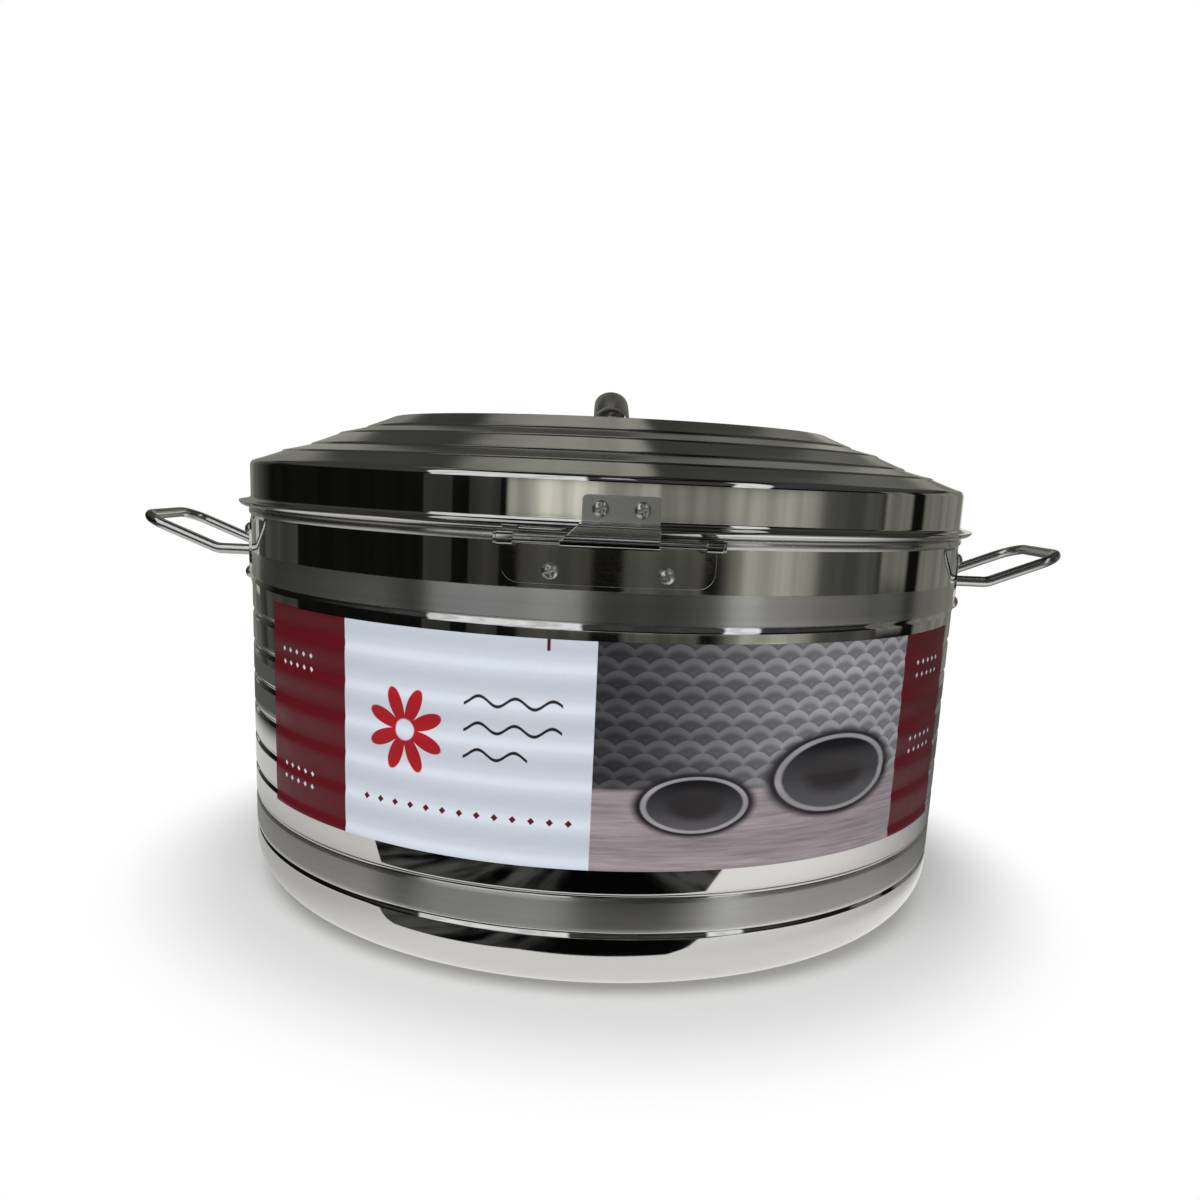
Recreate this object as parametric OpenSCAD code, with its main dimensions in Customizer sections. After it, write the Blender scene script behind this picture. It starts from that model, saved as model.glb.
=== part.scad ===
// Large insulated serving pot: a double-walled steel body, a double-walled lid on a hinge at the front
// (-Y), a bow handle on the lid and two fixed wire handles on the sides (X). It stands on its base at z = 0.

/* [Body] */
// Outer diameter of the body wall
body_d = 440; // [400:1:500]
// Height of the rim above the table
rim_z = 228; // [210:1:270]
// Thickness of the steel sheet
sheet = 0.8; // [0.6:0.1:1.2]
// Outer radius of the bottom corner
corner_r = 28; // [18:1:34]
// Width of the flange turned in under the corner
foot_w = 14; // [8:1:24]
// Width of the insulated space in the wall
wall_gap = 24; // [18:1:32]
// Height of the insulated space under the bowl
floor_gap = 30; // [22:1:40]
// Inner radius of the bowl's bottom corner
bowl_corner_r = 30; // [15:1:45]
// Height of the folded rim seen from outside
hem_h = 4.4; // [3:0.2:5]
// How far the folded rim stands out from the wall
hem_out = 1.2; // [1:0.1:1.6]

/* [Rolled grooves] */
// Depth of the highest groove's middle below the rim
groove_drop = 60.3; // [56:0.1:70]
// Distance between grooves
groove_pitch = 18.7; // [14:0.1:24]
// Number of grooves
groove_n = 8; // [4:1:8]
// Width of a groove
groove_w = 4.4; // [3:0.1:6]
// Depth of a groove
groove_d = 1.2; // [0.6:0.1:1.6]

/* [Label] */
// Depth of the label's upper edge below the rim
label_drop = 48; // [44:0.5:54]
// Height of the label
label_h = 110.5; // [80:0.5:120]
// Angle from the hinge to the label's left end
label_left = 53.9; // [30:0.1:65]
// Angle from the hinge to the label's right end
label_right = 62; // [30:0.1:65]
// Thickness of the label
label_t = 0.3; // [0.2:0.05:0.5]
// How far the label is pressed into each groove
label_emboss = 0.5; // [0.2:0.1:0.8]

/* [Side handles] */
// Diameter of the handle wire
wire_d = 6.5; // [4:0.1:7]
// Distance between the two legs of a loop
loop_w = 74; // [56:1:76]
// Distance from the wall to the middle of the grip
loop_reach = 66; // [52:0.5:75]
// Straight length of a leg before it turns up
loop_flat = 17.5; // [14:0.5:24]
// Angle by which the loop turns up
loop_tilt = 21.5; // [10:0.5:30]
// Radius of the upward bend
loop_bend_r = 13; // [8:0.5:18]
// Radius of the loop's outer corners
loop_corner_r = 15; // [10:0.5:18]
// Depth of the legs below the rim
loop_drop = 28; // [26:0.5:34]
// Length of the plate behind a loop
plate_w = 108; // [96:1:124]
// Height of the plate behind a loop
plate_h = 43; // [36:0.5:46]
// Thickness of the plate behind a loop
plate_t = 2; // [1.2:0.1:3]
// Distance between rivets along the wall
rivet_span_w = 84; // [78:0.5:90]
// Distance between rivets up the wall
rivet_span_h = 26; // [20:0.5:28]
// Diameter of a rivet's shank
rivet_d = 4; // [3:0.1:5]
// Diameter of a rivet's head
rivet_head_d = 8.5; // [7:0.1:9.5]
// Height of a rivet's head
rivet_head_h = 3.2; // [2:0.1:4]

/* [Lid] */
// Height of the lid's upright band
band_h = 23.2; // [18:0.1:30]
// Gap between the closed lid and the rim
lid_gap = 0.3; // [0.2:0.05:0.6]
// How far the lid's rim flares out
flare_w = 6.7; // [5:0.1:7]
// Height of the flare where it leaves the band
flare_h = 6; // [5:0.1:7]
// Height of the flare's edge
flare_tip_h = 3.2; // [2.4:0.1:3.6]
// Radius of the lid's shoulder
shoulder_r = 3.5; // [2.5:0.5:6]
// Radius of the lid's flat top
top_r = 135.6; // [120:0.1:140]
// Number of rings on the lid's slope
ring_n = 5; // [3:1:5]
// Slope of the line along the rings
ring_slope = 19.7; // [14:0.1:22]
// How far the edges between rings lie above and below that line by turns
ring_wave = 0.6; // [0.2:0.1:1]
// Depth to which the lid's pan drops into the bowl
plug_d = 8; // [5:0.5:14]
// Gap between the lid's pan and the bowl's wall
plug_gap = 1.2; // [0.8:0.1:2]
// Radius of the pan's lower corner
plug_corner_r = 4; // [2:0.5:5]

/* [Lid handle] */
// Width of the bow handle
bow_w = 20.4; // [16:0.1:26]
// Depth of the bow's hollow section
bow_depth = 8; // [6:0.1:10]
// Thickness of the bow's sheet
bow_t = 1.4; // [1:0.1:2]
// Height of the bow's crown above the lid
bow_h = 22; // [18:0.5:40]
// Length of the arch
bow_span = 160; // [130:1:180]
// Length of a foot beyond the arch
bow_foot = 18; // [14:0.5:20]

/* [Hinge] */
// Distance of the pin's middle from the body wall
pin_out = 6.5; // [6.2:0.1:9]
// Depth of the pin's middle below the rim
pin_drop = 2.6; // [2.4:0.1:3.4]
// Diameter of the pin
pin_d = 3.2; // [2.6:0.1:3.4]
// Outer diameter of the knuckles
knuckle_d = 6; // [5.4:0.1:6.6]
// Width of the lid's knuckle
lid_knuckle_w = 44.4; // [40:0.1:56]
// Width of one end knuckle on the body
end_knuckle_w = 7.4; // [5:0.1:9]
// Radial clearance of the knuckles on the pin
running = 0.05; // [0.02:0.01:0.09]
// Thickness of the hinge sheet
leaf_t = 1.5; // [1:0.1:2]
// Width of the plate on the body
body_leaf_w = 98; // [92:0.5:112]
// Gap between the folded rim and that plate's upper edge
body_leaf_gap = 0.4; // [0.3:0.1:2]
// Height of that plate
body_leaf_h = 18; // [16.5:0.1:20]
// Radius of that plate's lower corners
body_leaf_corner_r = 8; // [2:0.5:10]
// Distance between that plate's screws
body_screw_span = 52.4; // [40:0.1:60]
// Depth of those screws below the rim
body_screw_drop = 17; // [16:0.1:17.5]
// Width of the plate on the lid
lid_leaf_w = 35.1; // [30:0.1:36]
// Height of that plate above the root of the flare
lid_leaf_rise = 11.6; // [10.8:0.1:13]
// Radius of that plate's upper corners
lid_leaf_corner_r = 2; // [1:0.1:4]
// Distance between that plate's screws
lid_screw_span = 18.7; // [16:0.1:20]
// Height of those screws above the root of the flare
lid_screw_rise = 5.6; // [5.4:0.1:6]
// Diameter of the screws
screw_d = 4; // [3:0.1:4.2]
// Diameter of a screw's head
screw_head_d = 7.6; // [6.5:0.1:8]
// Height of a screw's head
screw_head_h = 2.4; // [1.8:0.1:3]
// Length of a screw under its head
screw_l = 10; // [8:0.5:14]
// Width of a nut across its flats
nut_af = 7; // [6:0.1:7.5]
// Thickness of a nut
nut_t = 3; // [2.4:0.1:3.2]

/* [Hidden] */
// Clearance between pieces that are folded, glued, riveted or screwed together
fit = 0.1;
// Clearance of the foam to the sheets round it
foam_fit = 0.3;
// Clearance of a fastener in its hole
hole_fit = 0.1;
// Clearance of a fastener's inner end in the foam
pocket_fit = 1;
$fn = 72;
round_fn = 360;

body_r = body_d / 2;
bowl_r = body_r - sheet - wall_gap - sheet;
corner_z = sheet + corner_r;
bowl_z = sheet + floor_gap + sheet;
shell_top = rim_z - sheet - fit;
groove_r = (pow(groove_w / 2, 2) + pow(groove_d, 2)) / (2 * groove_d);
groove_zs = [for (i = [0 : groove_n - 1]) rim_z - groove_drop - i * groove_pitch];
foam_r = body_r - sheet - groove_d - foam_fit;

label_r = body_r + fit;
label_top = rim_z - label_drop;
label_low = label_top - label_h;
label_dip_w = groove_w * 0.8;

loop_z = rim_z - loop_drop;
plate_r = body_r + fit + plate_t;
grip_d = wire_d - 0.04;
wire_lap = 0.4;
rivet_angle = asin(rivet_span_w / 2 / body_r);
rivet_tail_d = rivet_d + 3.2;
rivet_tail_h = 1.2;

lid_z = rim_z + lid_gap;
lid_r = body_r;
plug_r = bowl_r - plug_gap;
roof = sheet / cos(ring_slope);
shoulder_end = 90 - ring_slope;
shoulder_c = [lid_r - shoulder_r, band_h];
slope_start = shoulder_c + shoulder_r * [cos(shoulder_end), sin(shoulder_end)];
ring_w = (slope_start[0] - top_r) / ring_n;
lid_top = ridge_z(top_r);
flare_flat = 1;

bow_rise = bow_h - bow_depth;
bow_r = (pow(bow_span / 2, 2) + pow(bow_rise, 2)) / (2 * bow_rise);
bow_half = asin(bow_span / 2 / bow_r);
bow_rivet_y = bow_span / 2 + bow_foot / 2 + bow_t;

pin_y = -(body_r + pin_out);
pin_z = rim_z - pin_drop;
end_overhang = 1.3;
pin_l = body_leaf_w + 2 * end_overhang;
pin_head_d = pin_d + 2;
pin_head_h = 1.2;
end_knuckle_x = pin_l / 2 - end_knuckle_w;
lid_leaf_left = lid_knuckle_w / 2 - lid_leaf_w;
lid_screw_x = lid_knuckle_w / 2 - lid_leaf_w / 2;
lid_screw_h = flare_h + lid_screw_rise;
lid_leaf_top = flare_h + lid_leaf_rise;
lid_nut_reach = abs(lid_screw_x) + lid_screw_span / 2 + nut_af / 2 / cos(30);
lid_nut_y = sqrt(pow(lid_r - sheet, 2) - pow(lid_nut_reach, 2)) - fit;
leaf_face = body_r + fit + leaf_t;
body_leaf_top = -hem_h - body_leaf_gap;
drop_y = flare_w + fit + leaf_t;
cross_w = screw_head_d * 0.16;
cross_l = screw_head_d * 0.62;
cross_d = screw_head_h * 0.5;

// Points of an arc round c from angle a0 to a1
function arc(c, r, a0, a1, n) =
    [for (i = [0 : n]) let (a = a0 + (a1 - a0) * i / n) c + r * [cos(a), sin(a)]];

// Points of an arc from a to b whose middle stands s to the right of the chord
function bulge(a, b, s, n) =
    let (c = norm(b - a), r = (c * c / 4 + s * s) / (2 * s), d = (b - a) / c, side = [d[1], -d[0]])
    let (o = (a + b) / 2 + side * (s - r), half = asin(c / 2 / r))
    [for (i = [0 : n]) let (t = half * (2 * i / n - 1)) o + r * (cos(t) * side + sin(t) * d)];

// Height of the line along the rings at a distance from the lid's axis
function ridge_z(r) = slope_start[1] + (slope_start[0] - r) * tan(ring_slope);

// A list turned round
function turned(v) = [for (i = [len(v) - 1 : -1 : 0]) v[i]];

// Points of a quarter ellipse round c, from angle a0 to a1
function oval(c, rx, ry, a0, a1, n) =
    [for (i = [0 : n]) let (a = a0 + (a1 - a0) * i / n) c + [rx * cos(a), ry * sin(a)]];

// Places its children against the wall at an angle from the hinge, with their +Z pointing out
module on_wall(angle, r, z) {
    rotate([0, 0, angle - 90]) translate([r, 0, z]) rotate([0, 90, 0]) children();
}

// Places its children at each rivet of the handle on one side
module at_rivets(side, r) {
    for (end = [-1, 1], level = [-1, 1])
        on_wall(side * 90 + end * rivet_angle, r, loop_z + level * rivet_span_h / 2) children();
}

// Places its children at the two screws of the plate on the body
module at_body_screws(r) {
    for (end = [-1, 1])
        on_wall(end * asin(body_screw_span / 2 / body_r), r, rim_z - body_screw_drop) children();
}

// Places its children at the two screws of the plate on the lid, with their +Z pointing to the front
module at_lid_screws(y) {
    for (end = [-1, 1])
        translate([lid_screw_x + end * lid_screw_span / 2, -y, lid_z + lid_screw_h]) rotate([90, 0, 0])
            children();
}

// Hole for a fastener, through everything within reach of its origin
module through(d, reach) {
    translate([0, 0, -reach]) cylinder(d = d + 2 * hole_fit, h = 2 * reach);
}

// Pan-head screw with a cross recess; its origin is under the head
module screw() {
    difference() {
        union() {
            intersection() {
                cylinder(d = screw_head_d, h = screw_head_h);
                translate([0, 0, screw_head_h - screw_head_d * 0.62]) sphere(d = screw_head_d * 1.24);
            }
            translate([0, 0, -screw_l]) cylinder(d = screw_d, h = screw_l);
        }
        for (turn = [0, 90])
            rotate([0, 0, turn + 20]) translate([-cross_l / 2, -cross_w / 2, screw_head_h - cross_d])
                cube([cross_l, cross_w, screw_head_h]);
    }
}

// Hexagon nut for the screws; its origin is on its outer face
module nut() {
    translate([0, 0, -nut_t]) difference() {
        cylinder(d = nut_af / cos(30), h = nut_t, $fn = 6);
        translate([0, 0, -1]) cylinder(d = screw_d + 2 * running, h = nut_t + 2);
    }
}

// Domed rivet through a grip of sheets, with its tail upset behind them; its origin is under the head
module rivet(grip) {
    dome_r = (pow(rivet_head_d / 2, 2) + pow(rivet_head_h, 2)) / (2 * rivet_head_h);
    intersection() {
        cylinder(d = rivet_head_d, h = rivet_head_h);
        translate([0, 0, rivet_head_h - dome_r]) sphere(r = dome_r);
    }
    translate([0, 0, -grip]) cylinder(d = rivet_d, h = grip);
    translate([0, 0, -grip - rivet_tail_h]) cylinder(d = rivet_tail_d, h = rivet_tail_h);
}

// Outline with rounded lower corners, hanging from y = 0
module hanging_plate(w, h, r) {
    translate([-w / 2, -h + r]) square([w, h - r]);
    translate([-w / 2 + r, -h]) square([w - 2 * r, h]);
    for (end = [-1, 1])
        translate([end * (w / 2 - r), -h + r]) circle(r = r);
}

// Wall, rolled grooves, bottom corner and turned-in flange of the outer shell
module shell_section() {
    groove_c = body_r - groove_d + groove_r;
    difference() {
        union() {
            translate([body_r - sheet, corner_z]) square([sheet, shell_top - corner_z]);
            for (z = groove_zs)
                intersection() {
                    translate([groove_c, z]) circle(r = groove_r + sheet);
                    translate([body_r - groove_w, z - groove_w]) square([groove_w, 2 * groove_w]);
                }
            intersection() {
                translate([body_r - corner_r, corner_z]) difference() {
                    circle(r = corner_r);
                    circle(r = corner_r - sheet);
                }
                translate([body_r - corner_r, sheet]) square(corner_r);
            }
            translate([body_r - corner_r - foot_w, sheet]) square([foot_w, sheet]);
        }
        for (z = groove_zs)
            translate([groove_c, z]) circle(r = groove_r);
    }
}

// Bowl with its rim folded out over the top of the outer shell
module bowl_section() {
    bead = hem_out - fit;
    bead_r = (pow(hem_h / 2, 2) + pow(bead, 2)) / (2 * bead);
    corner_c = [bowl_r - bowl_corner_r, bowl_z + bowl_corner_r];
    translate([bowl_r, corner_c[1]]) square([sheet, rim_z - corner_c[1]]);
    translate([0, bowl_z - sheet]) square([corner_c[0], sheet]);
    intersection() {
        translate(corner_c) difference() {
            circle(r = bowl_corner_r + sheet);
            circle(r = bowl_corner_r);
        }
        translate([corner_c[0], bowl_z - sheet]) square([bowl_corner_r + sheet, bowl_corner_r + sheet]);
    }
    translate([bowl_r, rim_z - sheet]) square([body_r + fit - bowl_r, sheet]);
    intersection() {
        translate([body_r + hem_out - bead_r, rim_z - hem_h / 2]) circle(r = bead_r);
        translate([body_r + fit, rim_z - hem_h]) square([bead, hem_h]);
    }
}

// Everything that the bowl takes up, with the foam's clearance round it
module bowl_room() {
    room_r = bowl_corner_r + sheet + foam_fit;
    translate([0, bowl_z + bowl_corner_r]) square([bowl_r + sheet + foam_fit, rim_z]);
    translate([0, bowl_z + bowl_corner_r - room_r]) square([bowl_r - bowl_corner_r, room_r]);
    translate([bowl_r - bowl_corner_r, bowl_z + bowl_corner_r]) circle(r = room_r);
}

// Foam between the outer shell, the base and the bowl
module foam_section() {
    low = sheet + sheet + foam_fit;
    high = rim_z - sheet - foam_fit;
    difference() {
        intersection() {
            union() {
                translate([0, corner_z]) square([foam_r, high - corner_z]);
                translate([0, low]) square([body_r - corner_r, corner_z]);
                translate([body_r - corner_r, corner_z]) circle(r = corner_r - sheet - foam_fit);
            }
            translate([0, low]) square([foam_r, high - low]);
        }
        bowl_room();
    }
}

// Lid: flared rim, upright band, shoulder, ringed slope and flat top, in the lid's own height
module lid_section() {
    slope = [
        for (i = [1 : ring_n]) let (r = slope_start[0] - i * ring_w, turn = i % 2 == 1 ? 1 : -1)
            [r, ridge_z(r) + (i < ring_n ? turn * ring_wave : 0)]
    ];
    under = oval([lid_r + flare_flat, flare_tip_h], flare_w - flare_flat, flare_tip_h, -90, 0, 6);
    over = oval([lid_r + flare_w, flare_h], flare_w, flare_h - flare_tip_h, -90, -180, 6);
    polygon(concat(
        [[lid_r - sheet, 0]], under, [for (i = [1 : len(over) - 1]) over[i]],
        arc(shoulder_c, shoulder_r, 0, shoulder_end, 6), slope,
        [[0, lid_top], [0, lid_top - roof]],
        [for (p = turned(slope)) p - [0, roof]],
        arc(shoulder_c, shoulder_r - sheet, shoulder_end, 0, 6)
    ));
}

// Pan inside the lid: a flange over the rim and a flat plug in the bowl's mouth, in the lid's own height
module pan_section() {
    corner_c = [plug_r - plug_corner_r, plug_corner_r - plug_d];
    translate([plug_r - sheet, 0]) square([lid_r - sheet - fit - plug_r + sheet, sheet]);
    translate([plug_r - sheet, corner_c[1]]) square([sheet, sheet - corner_c[1]]);
    translate([0, -plug_d]) square([corner_c[0], sheet]);
    intersection() {
        translate(corner_c) difference() {
            circle(r = plug_corner_r);
            circle(r = plug_corner_r - sheet);
        }
        translate([corner_c[0], -plug_d]) square(plug_corner_r);
    }
}

// Foam inside the lid, in the lid's own height
module lid_foam_section() {
    in_r = plug_r - plug_corner_r;
    side_r = lid_r - sheet - foam_fit;
    top = lid_top - roof - foam_fit;
    polygon([
        [0, sheet - plug_d + foam_fit], [in_r, sheet - plug_d + foam_fit], [in_r, sheet + foam_fit],
        [side_r, sheet + foam_fit], [side_r, band_h],
        [slope_start[0] - sheet - foam_fit, slope_start[1] - ring_wave - roof - foam_fit],
        [top_r - ring_wave / tan(ring_slope), top], [0, top]
    ]);
}

module outer_shell() {
    color([0.78, 0.78, 0.76]) difference() {
        rotate_extrude($fn = round_fn) shell_section();
        for (side = [-1, 1])
            at_rivets(side, body_r) through(rivet_d, wall_gap / 2);
        at_body_screws(body_r) through(screw_d, wall_gap / 2);
    }
}

module base_plate() {
    color([0.72, 0.72, 0.71]) cylinder(r = body_r - corner_r, h = sheet, $fn = round_fn);
}

module inner_bowl() {
    color([0.8, 0.8, 0.79]) rotate_extrude($fn = round_fn) bowl_section();
}

module body_insulation() {
    color([0.93, 0.87, 0.68]) difference() {
        rotate_extrude($fn = round_fn) foam_section();
        for (side = [-1, 1])
            at_rivets(side, body_r) through(rivet_tail_d + pocket_fit, sheet + rivet_tail_h + pocket_fit);
        at_body_screws(body_r) through(nut_af / cos(30) + pocket_fit, screw_l + pocket_fit);
    }
}

module wrap_label() {
    outside = label_r + label_t;
    dips = [for (z = turned(groove_zs)) if (z - label_dip_w > label_low && z + label_dip_w < label_top) z];
    face = [
        [0, label_low],
        for (z = dips) each bulge([0, z - label_dip_w / 2], [0, z + label_dip_w / 2], -label_emboss, 4),
        [0, label_top]
    ];
    color([0.82, 0.84, 0.88]) rotate([0, 0, -90 - label_left])
        rotate_extrude(angle = label_left + label_right, $fn = round_fn)
            polygon(concat(
                [for (p = face) p + [outside, 0]],
                [for (p = turned(face)) p + [label_r, 0]]
            ));
}

// Outline with round ends
module plate_outline() {
    square([plate_w - plate_h, plate_h], center = true);
    for (end = [-1, 1])
        translate([end * (plate_w - plate_h) / 2, 0]) circle(d = plate_h);
}

// Curved plate with round ends, riveted to the wall behind a handle loop
module handle_plate(side) {
    color([0.75, 0.75, 0.74]) difference() {
        intersection() {
            difference() {
                cylinder(r = plate_r, h = rim_z, $fn = round_fn);
                translate([0, 0, -1]) cylinder(r = body_r + fit, h = rim_z + 2, $fn = round_fn);
            }
            translate([0, 0, loop_z]) rotate([90, 0, side * 90]) linear_extrude(height = plate_r + 1)
                plate_outline();
        }
        at_rivets(side, body_r) through(rivet_d, wall_gap / 2);
    }
}

// One leg of a loop from inside the wall to the outer corner, with its half of the grip
module loop_half() {
    rise_l = (loop_reach - loop_flat - loop_bend_r * sin(loop_tilt)) / cos(loop_tilt) - loop_corner_r;
    translate([-loop_flat, loop_w / 2, 0]) rotate([0, 90, 0]) cylinder(d = wire_d, h = 2 * loop_flat);
    translate([loop_flat, loop_w / 2, loop_bend_r]) rotate([90, 0, 0]) rotate([0, 0, -90])
        rotate_extrude(angle = loop_tilt) translate([loop_bend_r, 0]) circle(d = wire_d);
    translate([loop_flat + loop_bend_r * sin(loop_tilt), 0, loop_bend_r * (1 - cos(loop_tilt))])
        rotate([0, -loop_tilt, 0]) {
            translate([-wire_lap, loop_w / 2, 0]) rotate([0, 90, 0])
                cylinder(d = grip_d, h = rise_l + wire_lap);
            translate([rise_l, loop_w / 2 - loop_corner_r, 0])
                rotate_extrude(angle = 90) translate([loop_corner_r, 0]) circle(d = grip_d);
            translate([rise_l + loop_corner_r, 0, 0]) rotate([-90, 0, 0])
                cylinder(d = grip_d, h = loop_w / 2 - loop_corner_r);
        }
}

// Wire loop whose legs stand on the plate
module handle_loop(side) {
    color([0.77, 0.77, 0.76]) difference() {
        rotate([0, 0, side * 90 - 90]) translate([body_r, 0, loop_z]) {
            loop_half();
            mirror([0, 1, 0]) loop_half();
        }
        cylinder(r = plate_r + fit, h = rim_z, $fn = round_fn);
    }
}

module handle_rivets(side) {
    color([0.8, 0.8, 0.8]) at_rivets(side, plate_r + fit) rivet(plate_r + fit - body_r + sheet + fit);
}

module left_handle_plate() { handle_plate(-1); }

module left_handle_loop() { handle_loop(-1); }

module left_handle_rivets() { handle_rivets(-1); }

module right_handle_plate() { handle_plate(1); }

module right_handle_loop() { handle_loop(1); }

module right_handle_rivets() { handle_rivets(1); }

// Eye rolled from the upper edge at one end of the plate on the body, in the height below the rim
module end_knuckle_section() {
    translate([pin_out, -pin_drop]) circle(d = knuckle_d);
    polygon([
        [-pin_out, body_leaf_top], [-pin_out, body_leaf_top - leaf_t], [leaf_t, body_leaf_top - leaf_t],
        [pin_out, -pin_drop - knuckle_d * 0.45], [pin_out, -pin_drop],
        [pin_out - knuckle_d / 4, body_leaf_top]
    ]);
}

module hinge_body_leaf() {
    color([0.74, 0.74, 0.73]) difference() {
        union() {
            intersection() {
                cylinder(r = leaf_face, h = rim_z, $fn = round_fn);
                translate([0, 0, rim_z + body_leaf_top]) rotate([90, 0, 0])
                    linear_extrude(height = leaf_face + 1)
                        hanging_plate(body_leaf_w, body_leaf_h, body_leaf_corner_r);
            }
            for (end = [-1, 1])
                translate([end * (end_knuckle_x + end_knuckle_w / 2) - end_knuckle_w / 2, -body_r, rim_z])
                    rotate([90, 0, 90]) linear_extrude(height = end_knuckle_w)
                        mirror([1, 0]) end_knuckle_section();
        }
        translate([0, 0, -1]) cylinder(r = body_r + fit, h = rim_z + 2, $fn = round_fn);
        translate([-pin_l, pin_y, pin_z]) rotate([0, 90, 0])
            cylinder(d = pin_d + 2 * running, h = 2 * pin_l);
        at_body_screws(body_r) through(screw_d, wall_gap / 2);
    }
}

module hinge_body_screws() {
    color([0.6, 0.6, 0.6]) at_body_screws(leaf_face + fit) screw();
}

module hinge_body_nuts() {
    color([0.6, 0.6, 0.6]) at_body_screws(body_r - sheet - foam_fit) nut();
}

module hinge_pin() {
    color([0.7, 0.7, 0.7]) translate([-pin_l / 2, pin_y, pin_z]) rotate([0, 90, 0]) {
        translate([0, 0, -fit]) cylinder(d = pin_d, h = pin_l + 2 * fit);
        for (end = [-pin_head_h - fit, pin_l + fit])
            translate([0, 0, end]) cylinder(d = pin_head_d, h = pin_head_h);
    }
}

module lid_shell() {
    color([0.74, 0.74, 0.72]) difference() {
        translate([0, 0, lid_z]) rotate_extrude($fn = round_fn) lid_section();
        at_lid_screws(lid_r) through(screw_d, wall_gap / 2);
        for (end = [-1, 1])
            translate([0, end * bow_rivet_y, lid_z + lid_top]) through(rivet_d, wall_gap / 2);
    }
}

module lid_pan() {
    color([0.8, 0.8, 0.79]) translate([0, 0, lid_z]) rotate_extrude($fn = round_fn) pan_section();
}

module lid_insulation() {
    color([0.93, 0.87, 0.68]) difference() {
        translate([0, 0, lid_z]) rotate_extrude($fn = round_fn) lid_foam_section();
        at_lid_screws(lid_r) through(nut_af / cos(30) + pocket_fit, screw_l + pocket_fit);
        for (end = [-1, 1])
            translate([0, end * bow_rivet_y, lid_z + lid_top])
                through(rivet_tail_d + pocket_fit, roof + rivet_tail_h + pocket_fit);
    }
}

// Hollow half-round arch along Y with a flat foot at each end
module lid_bow_handle() {
    section = concat(
        oval([bow_r, 0], bow_depth, bow_w / 2, -90, 90, 12),
        oval([bow_r, 0], bow_depth - bow_t, bow_w / 2 - bow_t, 90, -90, 12)
    );
    foot_y = bow_span / 2 - bow_t;
    color([0.7, 0.7, 0.68]) translate([0, 0, lid_z + lid_top + fit]) difference() {
        union() {
            intersection() {
                translate([0, 0, bow_rise - bow_r]) rotate([0, -90, 0]) rotate([0, 0, -2 * bow_half])
                    rotate_extrude(angle = 4 * bow_half, $fn = round_fn) polygon(section);
                translate([-bow_w, -bow_span / 2, 0]) cube([2 * bow_w, bow_span, 2 * bow_h]);
            }
            for (end = [-1, 1])
                translate([-bow_w / 2, end > 0 ? foot_y : -foot_y - bow_foot - bow_t, 0])
                    cube([bow_w, bow_foot + bow_t, bow_t]);
        }
        for (end = [-1, 1])
            translate([0, end * bow_rivet_y, 0]) through(rivet_d, bow_h);
    }
}

module lid_handle_rivets() {
    color([0.8, 0.8, 0.8])
        for (end = [-1, 1])
            translate([0, end * bow_rivet_y, lid_z + lid_top + fit + bow_t + fit])
                rivet(fit + bow_t + fit + roof + fit);
}

// Side view of the lid's hinge sheet: plate on the band, bend along the flare and drop to the knuckle
module lid_leaf_section() {
    flare_c = [flare_w, flare_h];
    flare_rise = flare_h - flare_tip_h;
    tip = flare_tip_h + fit;
    pin_level = -lid_gap - pin_drop;
    polygon(concat(
        [[-leaf_t, flare_h + fit], [-leaf_t, lid_leaf_top], [fit + leaf_t, lid_leaf_top]],
        oval(flare_c, flare_w - fit - leaf_t, flare_rise - fit - leaf_t, 180, 270, 6),
        arc([flare_w + fit, tip], leaf_t, 90, 0, 6),
        [[drop_y, pin_level], [drop_y - leaf_t, pin_level], [drop_y - leaf_t, tip]],
        oval(flare_c, flare_w - fit, flare_rise - fit, 270, 180, 6),
        [[fit, flare_h + fit]]
    ));
}

// Front view of the lid's hinge sheet: plate with round upper corners, wider on the left at the knuckle
module lid_leaf_front() {
    right = lid_knuckle_w / 2;
    low = -lid_gap - pin_drop - knuckle_d;
    r = lid_leaf_corner_r;
    polygon(concat(
        [[right, low]], arc([right - r, lid_leaf_top - r], r, 0, 90, 4),
        arc([lid_leaf_left + r, lid_leaf_top - r], r, 90, 180, 4),
        [[lid_leaf_left, flare_h], [-right, flare_h - lid_leaf_left - right], [-right, low]]
    ));
}

module hinge_lid_leaf() {
    color([0.76, 0.76, 0.75]) difference() {
        intersection() {
            union() {
                translate([-lid_knuckle_w, -lid_r, lid_z]) rotate([90, 0, 90])
                    linear_extrude(height = 2 * lid_knuckle_w) mirror([1, 0]) lid_leaf_section();
                translate([-lid_knuckle_w, pin_y, pin_z]) rotate([0, 90, 0])
                    cylinder(d = knuckle_d, h = 2 * lid_knuckle_w);
            }
            translate([0, 0, lid_z]) rotate([90, 0, 0]) linear_extrude(height = 2 * lid_r) lid_leaf_front();
        }
        translate([0, 0, lid_z + flare_h]) cylinder(r = lid_r + fit, h = band_h, $fn = round_fn);
        translate([-lid_knuckle_w, pin_y, pin_z]) rotate([0, 90, 0])
            cylinder(d = pin_d + 2 * running, h = 2 * lid_knuckle_w);
        at_lid_screws(lid_r) through(screw_d, wall_gap / 2);
    }
}

module hinge_lid_screws() {
    color([0.8, 0.8, 0.8]) at_lid_screws(leaf_face + fit) screw();
}

module hinge_lid_nuts() {
    color([0.6, 0.6, 0.6]) at_lid_screws(lid_nut_y) nut();
}

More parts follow.
